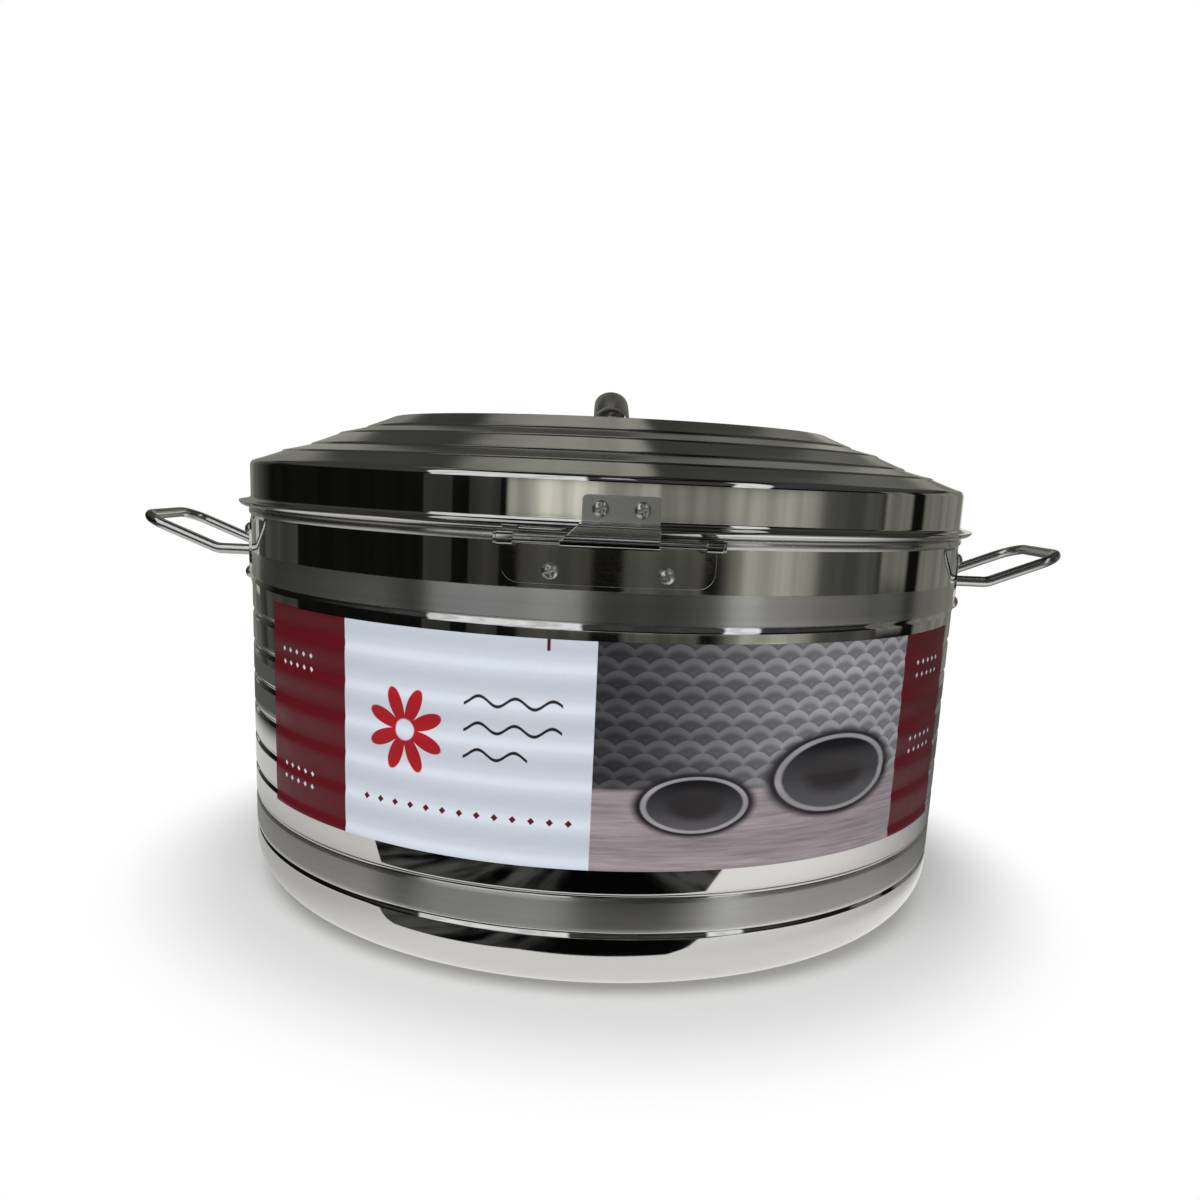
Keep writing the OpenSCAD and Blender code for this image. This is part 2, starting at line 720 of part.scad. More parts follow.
outer_shell();
base_plate();
inner_bowl();
body_insulation();
wrap_label();
left_handle_plate();
left_handle_loop();
left_handle_rivets();
right_handle_plate();
right_handle_loop();
right_handle_rivets();
hinge_body_leaf();
hinge_body_screws();
hinge_body_nuts();
hinge_pin();
lid_shell();
lid_pan();
lid_insulation();
lid_bow_handle();
lid_handle_rivets();
hinge_lid_leaf();
hinge_lid_screws();
hinge_lid_nuts();
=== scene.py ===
"""Looks of a large insulated serving pot: polished and brushed steel body, ringed lid and paper label."""
import logging
import math
from dataclasses import dataclass
from enum import Enum
from functools import partial, reduce
from typing import Iterable, Sequence

import bpy
from mathutils import Matrix, Vector


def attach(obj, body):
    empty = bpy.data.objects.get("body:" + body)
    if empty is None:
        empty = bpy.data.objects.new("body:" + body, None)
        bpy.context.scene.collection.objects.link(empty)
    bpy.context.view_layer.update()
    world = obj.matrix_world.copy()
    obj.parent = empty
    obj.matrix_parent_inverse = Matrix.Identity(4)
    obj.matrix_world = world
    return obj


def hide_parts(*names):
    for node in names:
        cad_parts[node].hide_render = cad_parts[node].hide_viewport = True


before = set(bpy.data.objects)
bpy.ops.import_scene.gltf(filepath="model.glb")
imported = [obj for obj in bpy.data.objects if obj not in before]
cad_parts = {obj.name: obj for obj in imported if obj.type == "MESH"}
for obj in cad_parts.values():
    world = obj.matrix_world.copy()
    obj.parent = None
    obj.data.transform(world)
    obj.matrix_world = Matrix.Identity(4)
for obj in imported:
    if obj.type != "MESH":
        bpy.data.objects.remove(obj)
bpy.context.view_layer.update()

LOG = logging.getLogger("serving_pot")
MM = 0.001
SAME_POINT = 1e-7
ON_AXIS = 1e-6

Point = tuple[float, float]
Point3 = tuple[float, float, float]
Colour = tuple[float, float, float]
Node = bpy.types.Node
Tree = bpy.types.NodeTree
Socket = bpy.types.NodeSocket
Material = bpy.types.Material
Piece = bpy.types.Object


def from_screen(red: int, green: int, blue: int) -> Colour:
    """Turns a colour as a screen shows it into light levels.

    Args:
        red: Red from 0 to 255.
        green: Green from 0 to 255.
        blue: Blue from 0 to 255.

    Returns:
        The three light levels from 0 to 1.
    """
    def level(value: int) -> float:
        """One channel's light level."""
        part = value / 255
        return part / 12.92 if part <= 0.04045 else ((part + 0.055) / 1.055) ** 2.4
    return level(red), level(green), level(blue)


def shaded(colour: Colour, share: float) -> Colour:
    """A colour at a share of its brightness."""
    return tuple(part * share for part in colour)


@dataclass(frozen=True)
class PotSizes:
    """Sizes that several pieces share, in metres, with the base at z = 0 and the hinge at -Y."""

    body_r: float = 220 * MM
    rim_z: float = 228 * MM
    sheet: float = 0.8 * MM
    fit: float = 0.1 * MM
    lid_gap: float = 0.3 * MM
    corner_r: float = 28 * MM
    foot_w: float = 14 * MM
    groove_top: float = 167.7 * MM
    groove_pitch: float = 18.7 * MM
    groove_count: int = 8
    groove_w: float = 4.4 * MM
    groove_d: float = 1.2 * MM
    groove_lips: float = 0.68
    ledge_z: float = 188.4 * MM
    ledge_h: float = 4.0 * MM
    ledge_d: float = 1.2 * MM
    ledge_lip: float = 0.3 * MM
    upper_satin: Point = (187.5 * MM, 202.8 * MM)
    lower_satin: Point = (37.6 * MM, 54.8 * MM)
    band_h: float = 23.2 * MM

    @property
    def lid_z(self) -> float:
        """Height of the lid's lower edge."""
        return self.rim_z + self.lid_gap

    @property
    def groove_half(self) -> float:
        """Half of a groove's width, with its rounded lips."""
        return self.groove_w * self.groove_lips

    @property
    def groove_levels(self) -> list[float]:
        """Heights of the grooves' middles, from the lowest up."""
        return [self.groove_top - i * self.groove_pitch for i in reversed(range(self.groove_count))]


SIZES = PotSizes()


class Value:
    """A number or colour that a node gives; numbers are reckoned with like plain ones."""

    def __init__(self, graph: "Graph", socket: Socket) -> None:
        """Keeps the graph, and the socket that gives it."""
        self.graph, self.socket = graph, socket

    def __add__(self, other: object) -> "Value":
        """The sum."""
        return self.graph.math("ADD", self, other)

    def __sub__(self, other: object) -> "Value":
        """The difference."""
        return self.graph.math("SUBTRACT", self, other)

    def __rsub__(self, other: object) -> "Value":
        """The difference from a plain number."""
        return self.graph.math("SUBTRACT", other, self)

    def __mul__(self, other: object) -> "Value":
        """The product."""
        return self.graph.math("MULTIPLY", self, other)

    def __truediv__(self, other: object) -> "Value":
        """The quotient."""
        return self.graph.math("DIVIDE", self, other)

    def __neg__(self) -> "Value":
        """The number with its sign turned."""
        return self * -1.0

    def __abs__(self) -> "Value":
        """The number without its sign."""
        return self.graph.math("ABSOLUTE", self)


class Graph:
    """Adds nodes to one node tree and joins them. Inputs are Values, sockets, plain numbers or colours."""

    def __init__(self, tree: Tree) -> None:
        """Keeps the tree that the nodes go into."""
        self.tree = tree

    def add(self, kind: str, feeds: dict[int | str, object] | None = None, **settings: object) -> Node:
        """Adds a node.

        Args:
            kind: The node's type name, without ShaderNode.
            feeds: What its inputs get, by their number or name.
            settings: Its properties.

        Returns:
            The new node.
        """
        node = self.tree.nodes.new("ShaderNode" + kind)
        for name, value in settings.items():
            setattr(node, name, value)
        for key, value in (feeds or {}).items():
            self.feed(node.inputs[key], value)
        return node

    def feed(self, socket: Socket, value: object) -> None:
        """Joins an output to an input, or sets the input to something plain.

        Args:
            socket: The input.
            value: What it gets.
        """
        source = value.socket if isinstance(value, Value) else value
        if isinstance(source, Socket):
            self.tree.links.new(source, socket)
        elif isinstance(source, tuple) and len(source) == 3 and len(socket.default_value) == 4:
            socket.default_value = (*source, 1.0)
        else:
            socket.default_value = source

    def value(self, kind: str, feeds: dict[int | str, object], output: int = 0, **settings: object) -> Value:
        """Adds a node and gives one of its outputs."""
        return Value(self, self.add(kind, feeds, **settings).outputs[output])

    def math(self, operation: str, *values: object) -> Value:
        """The result of a Math node."""
        return self.value("Math", dict(enumerate(values)), operation=operation)

    def most(self, *values: object) -> Value:
        """The largest of several values."""
        return reduce(partial(self.math, "MAXIMUM"), values)

    def length(self, across: Value, up: Value) -> Value:
        """Length of a line that goes so far across and so far up."""
        return self.math("SQRT", across * across + up * up)

    def step(self, value: object, edge: float, soft: float) -> Value:
        """Rises smoothly from 0 to 1 round an edge, over a width; a negative width makes it a fall."""
        ends = {"Value": value, "From Min": edge - soft / 2, "From Max": edge + soft / 2}
        return self.value("MapRange", ends, interpolation_type="SMOOTHSTEP")

    def between(self, value: object, low: float, high: float, soft: float) -> Value:
        """Is 1 where a value lies between two edges, with soft flanks."""
        return self.step(value, low, soft) * self.step(value, high, -soft)

    def scaled(self, value: object, low: float, high: float) -> Value:
        """Stretches a value from 0...1 to low...high."""
        return self.math("MULTIPLY_ADD", value, high - low, low)

    def lerp(self, share: object, first: object, second: object) -> Value:
        """Mixes two values by the share of the second one."""
        return self.value("Mix", {0: share, 2: first, 3: second}, data_type="FLOAT")

    def tint(self, share: object, first: object, second: object) -> Value:
        """Mixes two colours by the share of the second one."""
        return self.value("Mix", {0: share, 6: first, 7: second}, 2, data_type="RGBA")

    def split(self, vector: Socket) -> tuple[Value, ...]:
        """A vector's x, y and z."""
        return tuple(Value(self, part) for part in self.add("SeparateXYZ", {0: vector}).outputs)

    def noise(self, vector: object, detail: float, rough: float, scale: float = 1.0) -> Value:
        """A noise of about 0.5 on average, read at a vector or at three values."""
        at = self.value("CombineXYZ", dict(enumerate(vector))) if isinstance(vector, tuple) else vector
        return self.value("TexNoise", {"Vector": at, "Scale": scale, "Detail": detail, "Roughness": rough})

    def place(self) -> Socket:
        """The point on the surface, in metres in the part's own frame."""
        return self.add("TexCoord").outputs["Object"]

    def group(self, tree: Tree, **values: object) -> dict[str, Value]:
        """Places a node group, with its inputs by name, and gives its outputs by name."""
        made = self.add("Group", values, node_tree=tree).outputs
        return {output.name: Value(self, output) for output in made}


def new_group(name: str, inputs: Sequence[tuple[str, str]], outputs: Sequence[tuple[str, str]]
              ) -> tuple[Graph, Node, Node]:
    """Starts a shader node group.

    Args:
        name: The group's name.
        inputs: Each input's name and kind (Float or Vector).
        outputs: Each output's name and kind.

    Returns:
        The group's graph, its input node and its output node.
    """
    tree = bpy.data.node_groups.new(name, "ShaderNodeTree")
    for way, sockets in (("INPUT", inputs), ("OUTPUT", outputs)):
        for label, kind in sockets:
            tree.interface.new_socket(label, in_out=way, socket_type="NodeSocket" + kind)
    return Graph(tree), tree.nodes.new("NodeGroupInput"), tree.nodes.new("NodeGroupOutput")


class SharedEffects:
    """Node groups that several finishes use."""

    def __init__(self) -> None:
        """Builds each group once."""
        self.turning = self._turning_marks()
        self.handling = self._handling_haze()
        self.scratches = self._fine_scratches()
        self.edges = self._soft_edges()

    @staticmethod
    def _turning_marks() -> Tree:
        """Makes brush lines that run round the pot's axis.

        Returns:
            The group, with fine and coarse lines.
        """
        graph, given, made = new_group("turning_marks", [("Place", "Vector"), ("Lines", "Float")],
                                       [("Fine", "Float"), ("Coarse", "Float")])
        x, y, z = graph.split(given.outputs["Place"])
        across = (z + graph.length(x, y)) * given.outputs["Lines"]
        graph.feed(made.inputs["Fine"], graph.noise((x * 9.0, y * 9.0, across), detail=3.0, rough=0.6))
        coarse = graph.noise((x * 4.0, y * 4.0, across * 0.16), detail=3.0, rough=0.55)
        graph.feed(made.inputs["Coarse"], coarse)
        return graph.tree

    @staticmethod
    def _handling_haze() -> Tree:
        """Makes faint haze from handling, and the slow waves of thin sheet.

        Returns:
            The group.
        """
        graph, given, made = new_group("handling_haze", [("Place", "Vector")],
                                       [("Haze", "Float"), ("Waves", "Float")])
        place = given.outputs["Place"]
        haze = graph.noise(place, detail=5.0, rough=0.62, scale=14.0)
        graph.feed(made.inputs["Haze"], graph.step(haze, edge=0.56, soft=0.3))
        graph.feed(made.inputs["Waves"], graph.noise(place, detail=1.5, rough=0.4, scale=11.0))
        return graph.tree

    @staticmethod
    def _fine_scratches() -> Tree:
        """Makes short hair scratches in two directions.

        Returns:
            The group.
        """
        graph, given, made = new_group("fine_scratches", [("Place", "Vector")], [("Lines", "Float")])
        x, y, z = graph.split(given.outputs["Place"])
        level = graph.noise((x * 60.0, y * 60.0, z * 1500.0), detail=2.0, rough=0.5)
        leaning_at = ((x * 0.7 + z) * 1300.0, y * 50.0, (x - z) * 55.0)
        lines = graph.most(level, graph.noise(leaning_at, detail=2.0, rough=0.5))
        graph.feed(made.inputs["Lines"], graph.step(lines, edge=0.6, soft=0.35))
        return graph.tree

    @staticmethod
    def _soft_edges() -> Tree:
        """Makes normals that turn over a sheet's edges as if these were deburred.

        Returns:
            The group.
        """
        graph, _, made = new_group("soft_edges", [], [("Normal", "Vector")])
        bevel = graph.add("Bevel", {"Radius": 0.5 * MM}, samples=6)
        graph.feed(made.inputs["Normal"], bevel.outputs[0])
        return graph.tree


def new_material(name: str) -> tuple[Material, Graph, Node]:
    """Starts a material with a Principled BSDF.

    Args:
        name: The material's name.

    Returns:
        The material, its graph and its shader node.
    """
    material = bpy.data.materials.new(name)
    material.use_nodes = True
    return material, Graph(material.node_tree), material.node_tree.nodes["Principled BSDF"]


def raise_bump(graph: Graph, shader: Node, layers: Iterable[tuple[object, float]],
               normal: Value | None = None) -> None:
    """Adds relief to a shader.

    Args:
        graph: The material's graph.
        shader: The shader that gets the relief.
        layers: Each layer's height from 0 to 1, and its depth in metres.
        normal: Normal under the first layer, where it isn't the mesh's own.
    """
    for height, depth in layers:
        under = {} if normal is None else {"Normal": normal}
        normal = graph.value("Bump", {"Height": height, "Distance": depth, **under})
    graph.feed(shader.inputs["Normal"], normal)


class SteelBands(Enum):
    """Which parts of a steel piece are brushed; the rest is polished."""

    BODY = "two bands of the wall"
    LID = "the slope and the top"
    ALL = "the whole piece"


@dataclass(frozen=True)
class SteelFinish:
    """Stainless steel sheet, polished or brushed round the axis."""

    name: str
    bands: SteelBands
    colour: Colour = (0.66, 0.65, 0.63)
    polished: float = 0.025
    haze: float = 0.03
    satin: float = 0.3
    fine: float = 0.04
    coarse: float = 0.03
    low_satin: float = 0.1
    low_edge: Point = (120 * MM, -20 * MM)
    band_soft: float = 0.8 * MM
    slope_start: float = 2.6 * MM
    lines: float = 1600.0
    dark: float = 0.35
    coarse_shade: Point = (0.7, 1.1)
    fine_shade: Point = (-0.06, 0.06)
    wave_depth: float = 0.22 * MM
    line_depth: float = 0.012 * MM

    def _satin_mask(self, graph: Graph, z: Value) -> Value:
        """Finds where the sheet is brushed.

        Args:
            graph: The material's graph.
            z: Height of the point.

        Returns:
            The share of brushing.
        """
        if self.bands is SteelBands.BODY:
            return graph.most(graph.between(z, *SIZES.upper_satin, self.band_soft),
                              graph.between(z, *SIZES.lower_satin, self.band_soft))
        return graph.step(z, SIZES.lid_z + SIZES.band_h + self.slope_start, self.band_soft)

    def _satin_rough(self, graph: Graph, z: Value, marks: dict[str, Value]) -> Value:
        """Finds the brushing's roughness, which is coarser low on the body.

        Args:
            graph: The material's graph.
            z: Height of the point.
            marks: The brush lines.

        Returns:
            The roughness.
        """
        rough = (graph.scaled(marks["Fine"], self.satin - self.fine, self.satin + self.fine)
                 + graph.scaled(marks["Coarse"], -self.coarse, self.coarse))
        if self.bands is SteelBands.BODY:
            rough = graph.step(z, *self.low_edge) * self.low_satin + rough
        return rough

    def build(self, effects: SharedEffects) -> Material:
        """Makes the material.

        Args:
            effects: The shared node groups.

        Returns:
            The material.
        """
        material, graph, shader = new_material(self.name)
        place = graph.place()
        z = graph.split(place)[2]
        marks = graph.group(effects.turning, Place=place, Lines=self.lines)
        haze = graph.group(effects.handling, Place=place)
        rough, lines = self._satin_rough(graph, z, marks), marks["Fine"]
        shade = graph.scaled(marks["Coarse"], *self.coarse_shade) + graph.scaled(lines, *self.fine_shade)
        colour = graph.tint(shade, shaded(self.colour, self.dark), self.colour)
        if self.bands is not SteelBands.ALL:
            mask = self._satin_mask(graph, z)
            bright = graph.scaled(haze["Haze"], self.polished, self.polished + self.haze)
            rough = graph.lerp(mask, bright, rough)
            colour = graph.tint(mask, self.colour, colour)
            lines = lines * mask
        graph.feed(shader.inputs["Roughness"], rough)
        graph.feed(shader.inputs["Base Color"], colour)
        raise_bump(graph, shader, ((haze["Waves"], self.wave_depth), (lines, self.line_depth)))
        shader.inputs["Metallic"].default_value = 1.0
        shader.inputs["Anisotropic"].default_value = 1.0
        shader.inputs["Anisotropic Rotation"].default_value = 0.25
        round_axis = graph.add("Tangent", direction_type="RADIAL", axis="Z")
        graph.feed(shader.inputs["Tangent"], round_axis.outputs[0])
        return material


@dataclass(frozen=True)
class FittingFinish:
    """Plain steel of small fittings, with hair scratches, faint haze and deburred edges."""

    name: str
    colour: Colour = (0.6, 0.59, 0.57)
    rough: float = 0.22
    haze: Point = (-0.02, 0.03)
    scratch_rough: float = 0.05
    scratch_depth: float = 0.001 * MM
    worn: float = 0.9
    polish: Point = (0.05, 0.09)
    polished_below: float | None = None
    polish_soft: float = 1.5 * MM

    def build(self, effects: SharedEffects) -> Material:
        """Makes the material.

        Args:
            effects: The shared node groups.

        Returns:
            The material.
        """
        material, graph, shader = new_material(self.name)
        place = graph.place()
        scratches = graph.group(effects.scratches, Place=place)["Lines"]
        haze = graph.group(effects.handling, Place=place)["Haze"]
        rough = (graph.scaled(haze, *(self.rough + part for part in self.haze))
                 + graph.scaled(scratches, 0.0, self.scratch_rough))
        if self.polished_below is not None:
            above = graph.step(graph.split(place)[2], self.polished_below, self.polish_soft)
            rough = graph.lerp(above, graph.scaled(haze, *self.polish), rough)
        graph.feed(shader.inputs["Roughness"], rough)
        colour = graph.tint(scratches, self.colour, shaded(self.colour, self.worn))
        graph.feed(shader.inputs["Base Color"], colour)
        edges = graph.group(effects.edges)["Normal"]
        raise_bump(graph, shader, ((scratches, self.scratch_depth),), edges)
        shader.inputs["Metallic"].default_value = 1.0
        return material


@dataclass(frozen=True)
class FoamFinish:
    """Rigid cream foam with fine cells."""

    name: str
    colour: Colour = (0.84, 0.73, 0.45)
    dark: float = 0.7
    cells: float = 900.0
    cell_depth: float = 0.6 * MM
    rough: Point = (0.8, 0.98)

    def build(self) -> Material:
        """Makes the material.

        Returns:
            The material.
        """
        material, graph, shader = new_material(self.name)
        cells = graph.noise(graph.place(), detail=3.0, rough=0.6, scale=self.cells)
        colour = graph.tint(cells, shaded(self.colour, self.dark), self.colour)
        graph.feed(shader.inputs["Base Color"], colour)
        graph.feed(shader.inputs["Roughness"], graph.scaled(cells, *self.rough))
        raise_bump(graph, shader, ((cells, self.cell_depth),))
        return material


@dataclass(frozen=True)
class LabelSizes:
    """Place and panels of the wrapped label: angles in degrees from the hinge, heights in metres."""

    left: float = -53.9
    right: float = 62.0
    low: float = 69.5 * MM
    high: float = 180.0 * MM
    left_panel: float = -35.6
    white_end: float = -0.8
    picture_end: float = 46.0
    face_r: float = 220.38 * MM
    thick: float = 0.12 * MM
    dip: float = 0.2 * MM
    dip_below: float = 6.5 * MM
    dip_fade: float = 3 * MM


class Drawing:
    """Shapes on the label, in millimetres along the wall from the hinge and up from its lower edge."""

    def __init__(self, graph: Graph, along: Value, up: Value) -> None:
        """Keeps the graph and the point's place."""
        self.graph, self.along, self.up = graph, along, up

    def disc(self, middle: Point, radius: float, flat: float = 1.0) -> Value:
        """Distance from an ellipse's middle, divided by its radius."""
        return self.graph.length((self.along - middle[0]) / radius, (self.up - middle[1]) / (radius * flat))

    def box(self, low: Point, high: Point, soft: float = 0.4) -> Value:
        """Mask of an upright rectangle."""
        across = self.graph.between(self.along, low[0], high[0], soft)
        return across * self.graph.between(self.up, low[1], high[1], soft)

    def after(self, degrees: float, soft: float) -> Value:
        """Mask of what lies beyond an angle from the hinge, or before it where the softness is negative."""
        return self.graph.step(self.along, math.radians(degrees) * SIZES.body_r / MM, soft)

    def lattice(self, pitch: float, size: float) -> Value:
        """Mask of small diamonds on a square lattice."""
        across, up = (abs(self.graph.math("FRACT", part / pitch) - 0.5) for part in (self.along, self.up))
        return self.graph.step(across + up, size, soft=-0.06)

    def flower(self, middle: Point, radius: float) -> Value:
        """Draws a flower with eight petals and an open eye.

        Args:
            middle: Its middle.
            radius: Length of the petals.

        Returns:
            The flower's mask.
        """
        graph = self.graph
        angle = graph.math("ARCTAN2", self.up - middle[1], self.along - middle[0])
        away = self.disc(middle, radius)
        petal = graph.scaled(abs(graph.math("SINE", angle * 4.0)), low=0.34, high=1.0)
        return graph.step(petal - away, edge=0.0, soft=0.05) * graph.step(away, edge=0.24, soft=0.05)

    def scallops(self, width: float, height: float) -> Value:
        """Draws rows of scallops, each row shifted by half a scallop.

        Args:
            width: Width of a scallop.
            height: Height of a row.

        Returns:
            Their shading from 0 to 1.
        """
        graph, row = self.graph, self.up / height
        shift = graph.math("MODULO", graph.math("FLOOR", row), 2.0) * (width / 2)
        across = graph.math("FRACT", (self.along + shift) / width) - 0.5
        rise = graph.math("FRACT", row) + across * across * 2.0
        return graph.step(graph.math("FRACT", rise), edge=0.5, soft=0.5)


@dataclass(frozen=True)
class LabelPrint:
    """Glossy printed paper: wine-red ends, a pale panel with a flower and a grey still life of bowls."""

    name: str
    sizes: LabelSizes
    wine: Colour = from_screen(92, 14, 24)
    pale: Colour = from_screen(206, 213, 223)
    red: Colour = from_screen(168, 24, 34)
    ink: Colour = from_screen(40, 36, 38)
    nick_ink: Colour = from_screen(92, 20, 30)
    ripple: float = 1.7 * MM
    ripple_lift: float = 2.5 * MM
    wave_depth: float = 0.6 * MM
    fibre_depth: float = 0.02 * MM
    rough: Point = (0.4, 0.5)
    fibre_rough: float = 0.04
    fibre_ink: float = 0.08
    gloss: float = 0.15
    flower_at: Point = (-98.0, 60.0)
    flower_r: float = 22.0
    line_start: float = -66.0
    line_half: float = 0.8
    wave_turn: float = 0.35
    wave_h: float = 2.2
    panel_soft: float = 0.3
    wavy_lines: tuple[Point, ...] = ((79.0, -18.0), (66.0, -18.0), (53.0, -34.0))
    dots: tuple[Point, Point] = ((-126.0, 18.0), (-9.0, 27.0))
    dot_lattice: Point = (9.0, 0.2)
    marks: tuple[Point, ...] = ((-196.0, 14.0), (-196.0, 77.0), (189.0, 42.0), (189.0, 84.0))
    mark_size: Point = (35.0, 14.0)
    mark_lattice: Point = (7.0, 0.21)
    nick: tuple[Point, Point] = ((-26.4, 105.0), (-24.8, 112.0))
    scallop: Point = (14.0, 6.5)
    wall_light: Point = (70.0, 150.0)
    wall_joints: tuple[Colour, Colour] = (from_screen(44, 43, 46), from_screen(122, 120, 122))
    wall_faces: tuple[Colour, Colour] = (from_screen(68, 68, 72), from_screen(166, 166, 170))
    table_edge: Point = (40.0, -3.0)
    table_grain: tuple[Colour, Colour] = (from_screen(96, 84, 88), from_screen(190, 178, 182))
    bowls: tuple[tuple[Point, float], ...] = (((126.0, 44.0), 38.0), ((47.0, 33.0), 27.0))
    bowl_flat: float = 0.52
    bowl_depth: tuple[Colour, Colour] = (from_screen(84, 82, 86), from_screen(20, 19, 22))
    bowl_shadow: Colour = from_screen(40, 37, 39)
    bowl_rim: Colour = from_screen(152, 150, 154)
    bowl_food: Colour = from_screen(48, 45, 46)

    def _picture(self, drawing: Drawing) -> Value:
        """Paints a grey still life: scallops above, a grained table below and two round bowls.

        Args:
            drawing: The label's drawing.

        Returns:
            Its colour.
        """
        graph, along, up = drawing.graph, drawing.along, drawing.up
        side = graph.step(along, *self.wall_light)
        wall = graph.tint(drawing.scallops(*self.scallop), graph.tint(side, *self.wall_joints),
                          graph.tint(side, *self.wall_faces))
        grain = graph.noise((along * 0.03, up * 0.5, 0.0), detail=4.0, rough=0.6)
        table = graph.tint(grain, *self.table_grain)
        colour = graph.tint(graph.step(up, *self.table_edge), wall, table)
        for middle, radius in self.bowls:
            away = drawing.disc(middle, radius, self.bowl_flat)
            inside = graph.tint(graph.step(up - middle[1], 0.0, radius), *self.bowl_depth)
            rings = ((1.14, -0.2, self.bowl_shadow), (1.0, -0.04, self.bowl_rim),
                     (0.9, -0.06, inside), (0.52, -0.3, self.bowl_food))
            for edge, soft, paint in rings:
                colour = graph.tint(graph.step(away, edge, soft), colour, paint)
        return colour

    def _design(self, drawing: Drawing) -> Value:
        """Paints all panels.

        Args:
            drawing: The label's drawing.

        Returns:
            The print's colour.
        """
        graph, sizes, soft = drawing.graph, self.sizes, self.panel_soft
        colour = graph.tint(drawing.flower(self.flower_at, self.flower_r), self.pale, self.red)
        wave = drawing.up + graph.math("SINE", drawing.along * self.wave_turn) * self.wave_h
        for level, end in self.wavy_lines:
            line = graph.between(wave, level - self.line_half, level + self.line_half, soft=0.5)
            line = line * graph.between(drawing.along, self.line_start, end, soft=0.6)
            colour = graph.tint(line, colour, self.ink)
        dots = drawing.lattice(*self.dot_lattice) * drawing.box(*self.dots)
        colour = graph.tint(dots, colour, self.wine)
        colour = graph.tint(drawing.after(sizes.white_end, soft), colour, self._picture(drawing))
        ends = graph.most(drawing.after(sizes.left_panel, -soft), drawing.after(sizes.picture_end, soft))
        wide, high = self.mark_size
        boxes = (drawing.box((s, t), (s + wide, t + high)) for s, t in self.marks)
        marks = drawing.lattice(*self.mark_lattice) * graph.most(*boxes)
        return graph.tint(ends, colour, graph.tint(marks, self.wine, self.pale))

    def _ripples(self, graph: Graph, z: Value) -> Value:
        """Finds the paper's shallow ripples, which draw in steeply below each groove.

        Args:
            graph: The material's graph.
            z: Height of the point.

        Returns:
            Their height from -1 to 1.
        """
        below = self.sizes.dip_below / SIZES.groove_pitch
        start = SIZES.groove_levels[0] - self.sizes.dip_below + self.ripple_lift
        turn = graph.math("FRACT", (z - start) / SIZES.groove_pitch)
        return graph.step(turn, (1 + below) / 2, 1 - below) - graph.step(turn, below / 2, below)

    def build(self, effects: SharedEffects) -> Material:
        """Makes the material.

        Args:
            effects: The shared node groups.

        Returns:
            The material.
        """
        material, graph, shader = new_material(self.name)
        place = graph.place()
        x, y, z = graph.split(place)
        along = graph.math("ARCTAN2", x, -y) * (SIZES.body_r / MM)
        drawing = Drawing(graph, along, (z - self.sizes.low) * (1 / MM))
        fibre = graph.noise(place, detail=4.0, rough=0.65, scale=700.0)
        colour = graph.tint(graph.scaled(fibre, 0.0, self.fibre_ink), self._design(drawing), self.ink)
        colour = graph.tint(drawing.box(*self.nick, soft=0.6), colour, self.nick_ink)
        graph.feed(shader.inputs["Base Color"], colour)
        haze = graph.group(effects.handling, Place=place)
        rough = (graph.scaled(haze["Haze"], *self.rough)
                 + graph.scaled(fibre, -self.fibre_rough, self.fibre_rough))
        graph.feed(shader.inputs["Roughness"], rough)
        raise_bump(graph, shader, ((self._ripples(graph, z), self.ripple), (haze["Waves"], self.wave_depth),
                                   (fibre, self.fibre_depth)))
        shader.inputs["Specular IOR Level"].default_value = self.gloss
        return material


def mesh_piece(name: str, verts: Sequence[Point3], faces: Sequence[Sequence[int]],
               sharp: float = 35.0) -> Piece:
    """Makes a smooth-shaded mesh object.

    Args:
        name: The piece's name.
        verts: Its points.
        faces: Its faces as lists of point numbers.
        sharp: Angle in degrees from which an edge stays sharp.

    Returns:
        The object, linked to the scene.
    """
    mesh = bpy.data.meshes.new(name)
    mesh.from_pydata(verts, [], faces)
    mesh.validate()
    mesh.update()
    mesh.polygons.foreach_set("use_smooth", [True] * len(mesh.polygons))
    mesh.set_sharp_from_angle(angle=math.radians(sharp))
    piece = bpy.data.objects.new(name, mesh)
    bpy.context.scene.collection.objects.link(piece)
    return piece


def lathe(name: str, outline: Sequence[Point], sharp: float = 35.0, segments: int = 320) -> Piece:
    """Turns a closed outline round the pot's axis.

    Args:
        name: The piece's name.
        outline: Radius and height of each point, going round the section.
        sharp: Angle in degrees from which an edge stays sharp.
        segments: Number of steps round the axis.

    Returns:
        The turned piece.
    """
    points = [p for p, q in zip(outline, [*outline[1:], outline[0]]) if math.dist(p, q) > SAME_POINT]
    turns = sum(p[0] * q[1] - q[0] * p[1] for p, q in zip(points, points[1:] + points[:1]))
    verts: list[Point3] = []
    rows: list[list[int]] = []
    for radius, height in points if turns > 0 else reversed(points):
        start = len(verts)
        if radius < ON_AXIS:
            verts.append((0.0, 0.0, height))
            rows.append([start] * segments)
            continue
        for i in range(segments):
            angle = 2 * math.pi * i / segments
            verts.append((radius * math.cos(angle), radius * math.sin(angle), height))
        rows.append(list(range(start, start + segments)))
    faces: list[list[int]] = []
    for here, there in zip(rows, rows[1:] + rows[:1]):
        if here[0] == here[1] and there[0] == there[1]:
            continue
        for i in range(segments):
            j = (i + 1) % segments
            faces.append(list(dict.fromkeys([here[i], here[j], there[j], there[i]])))
    return mesh_piece(name, verts, faces, sharp)


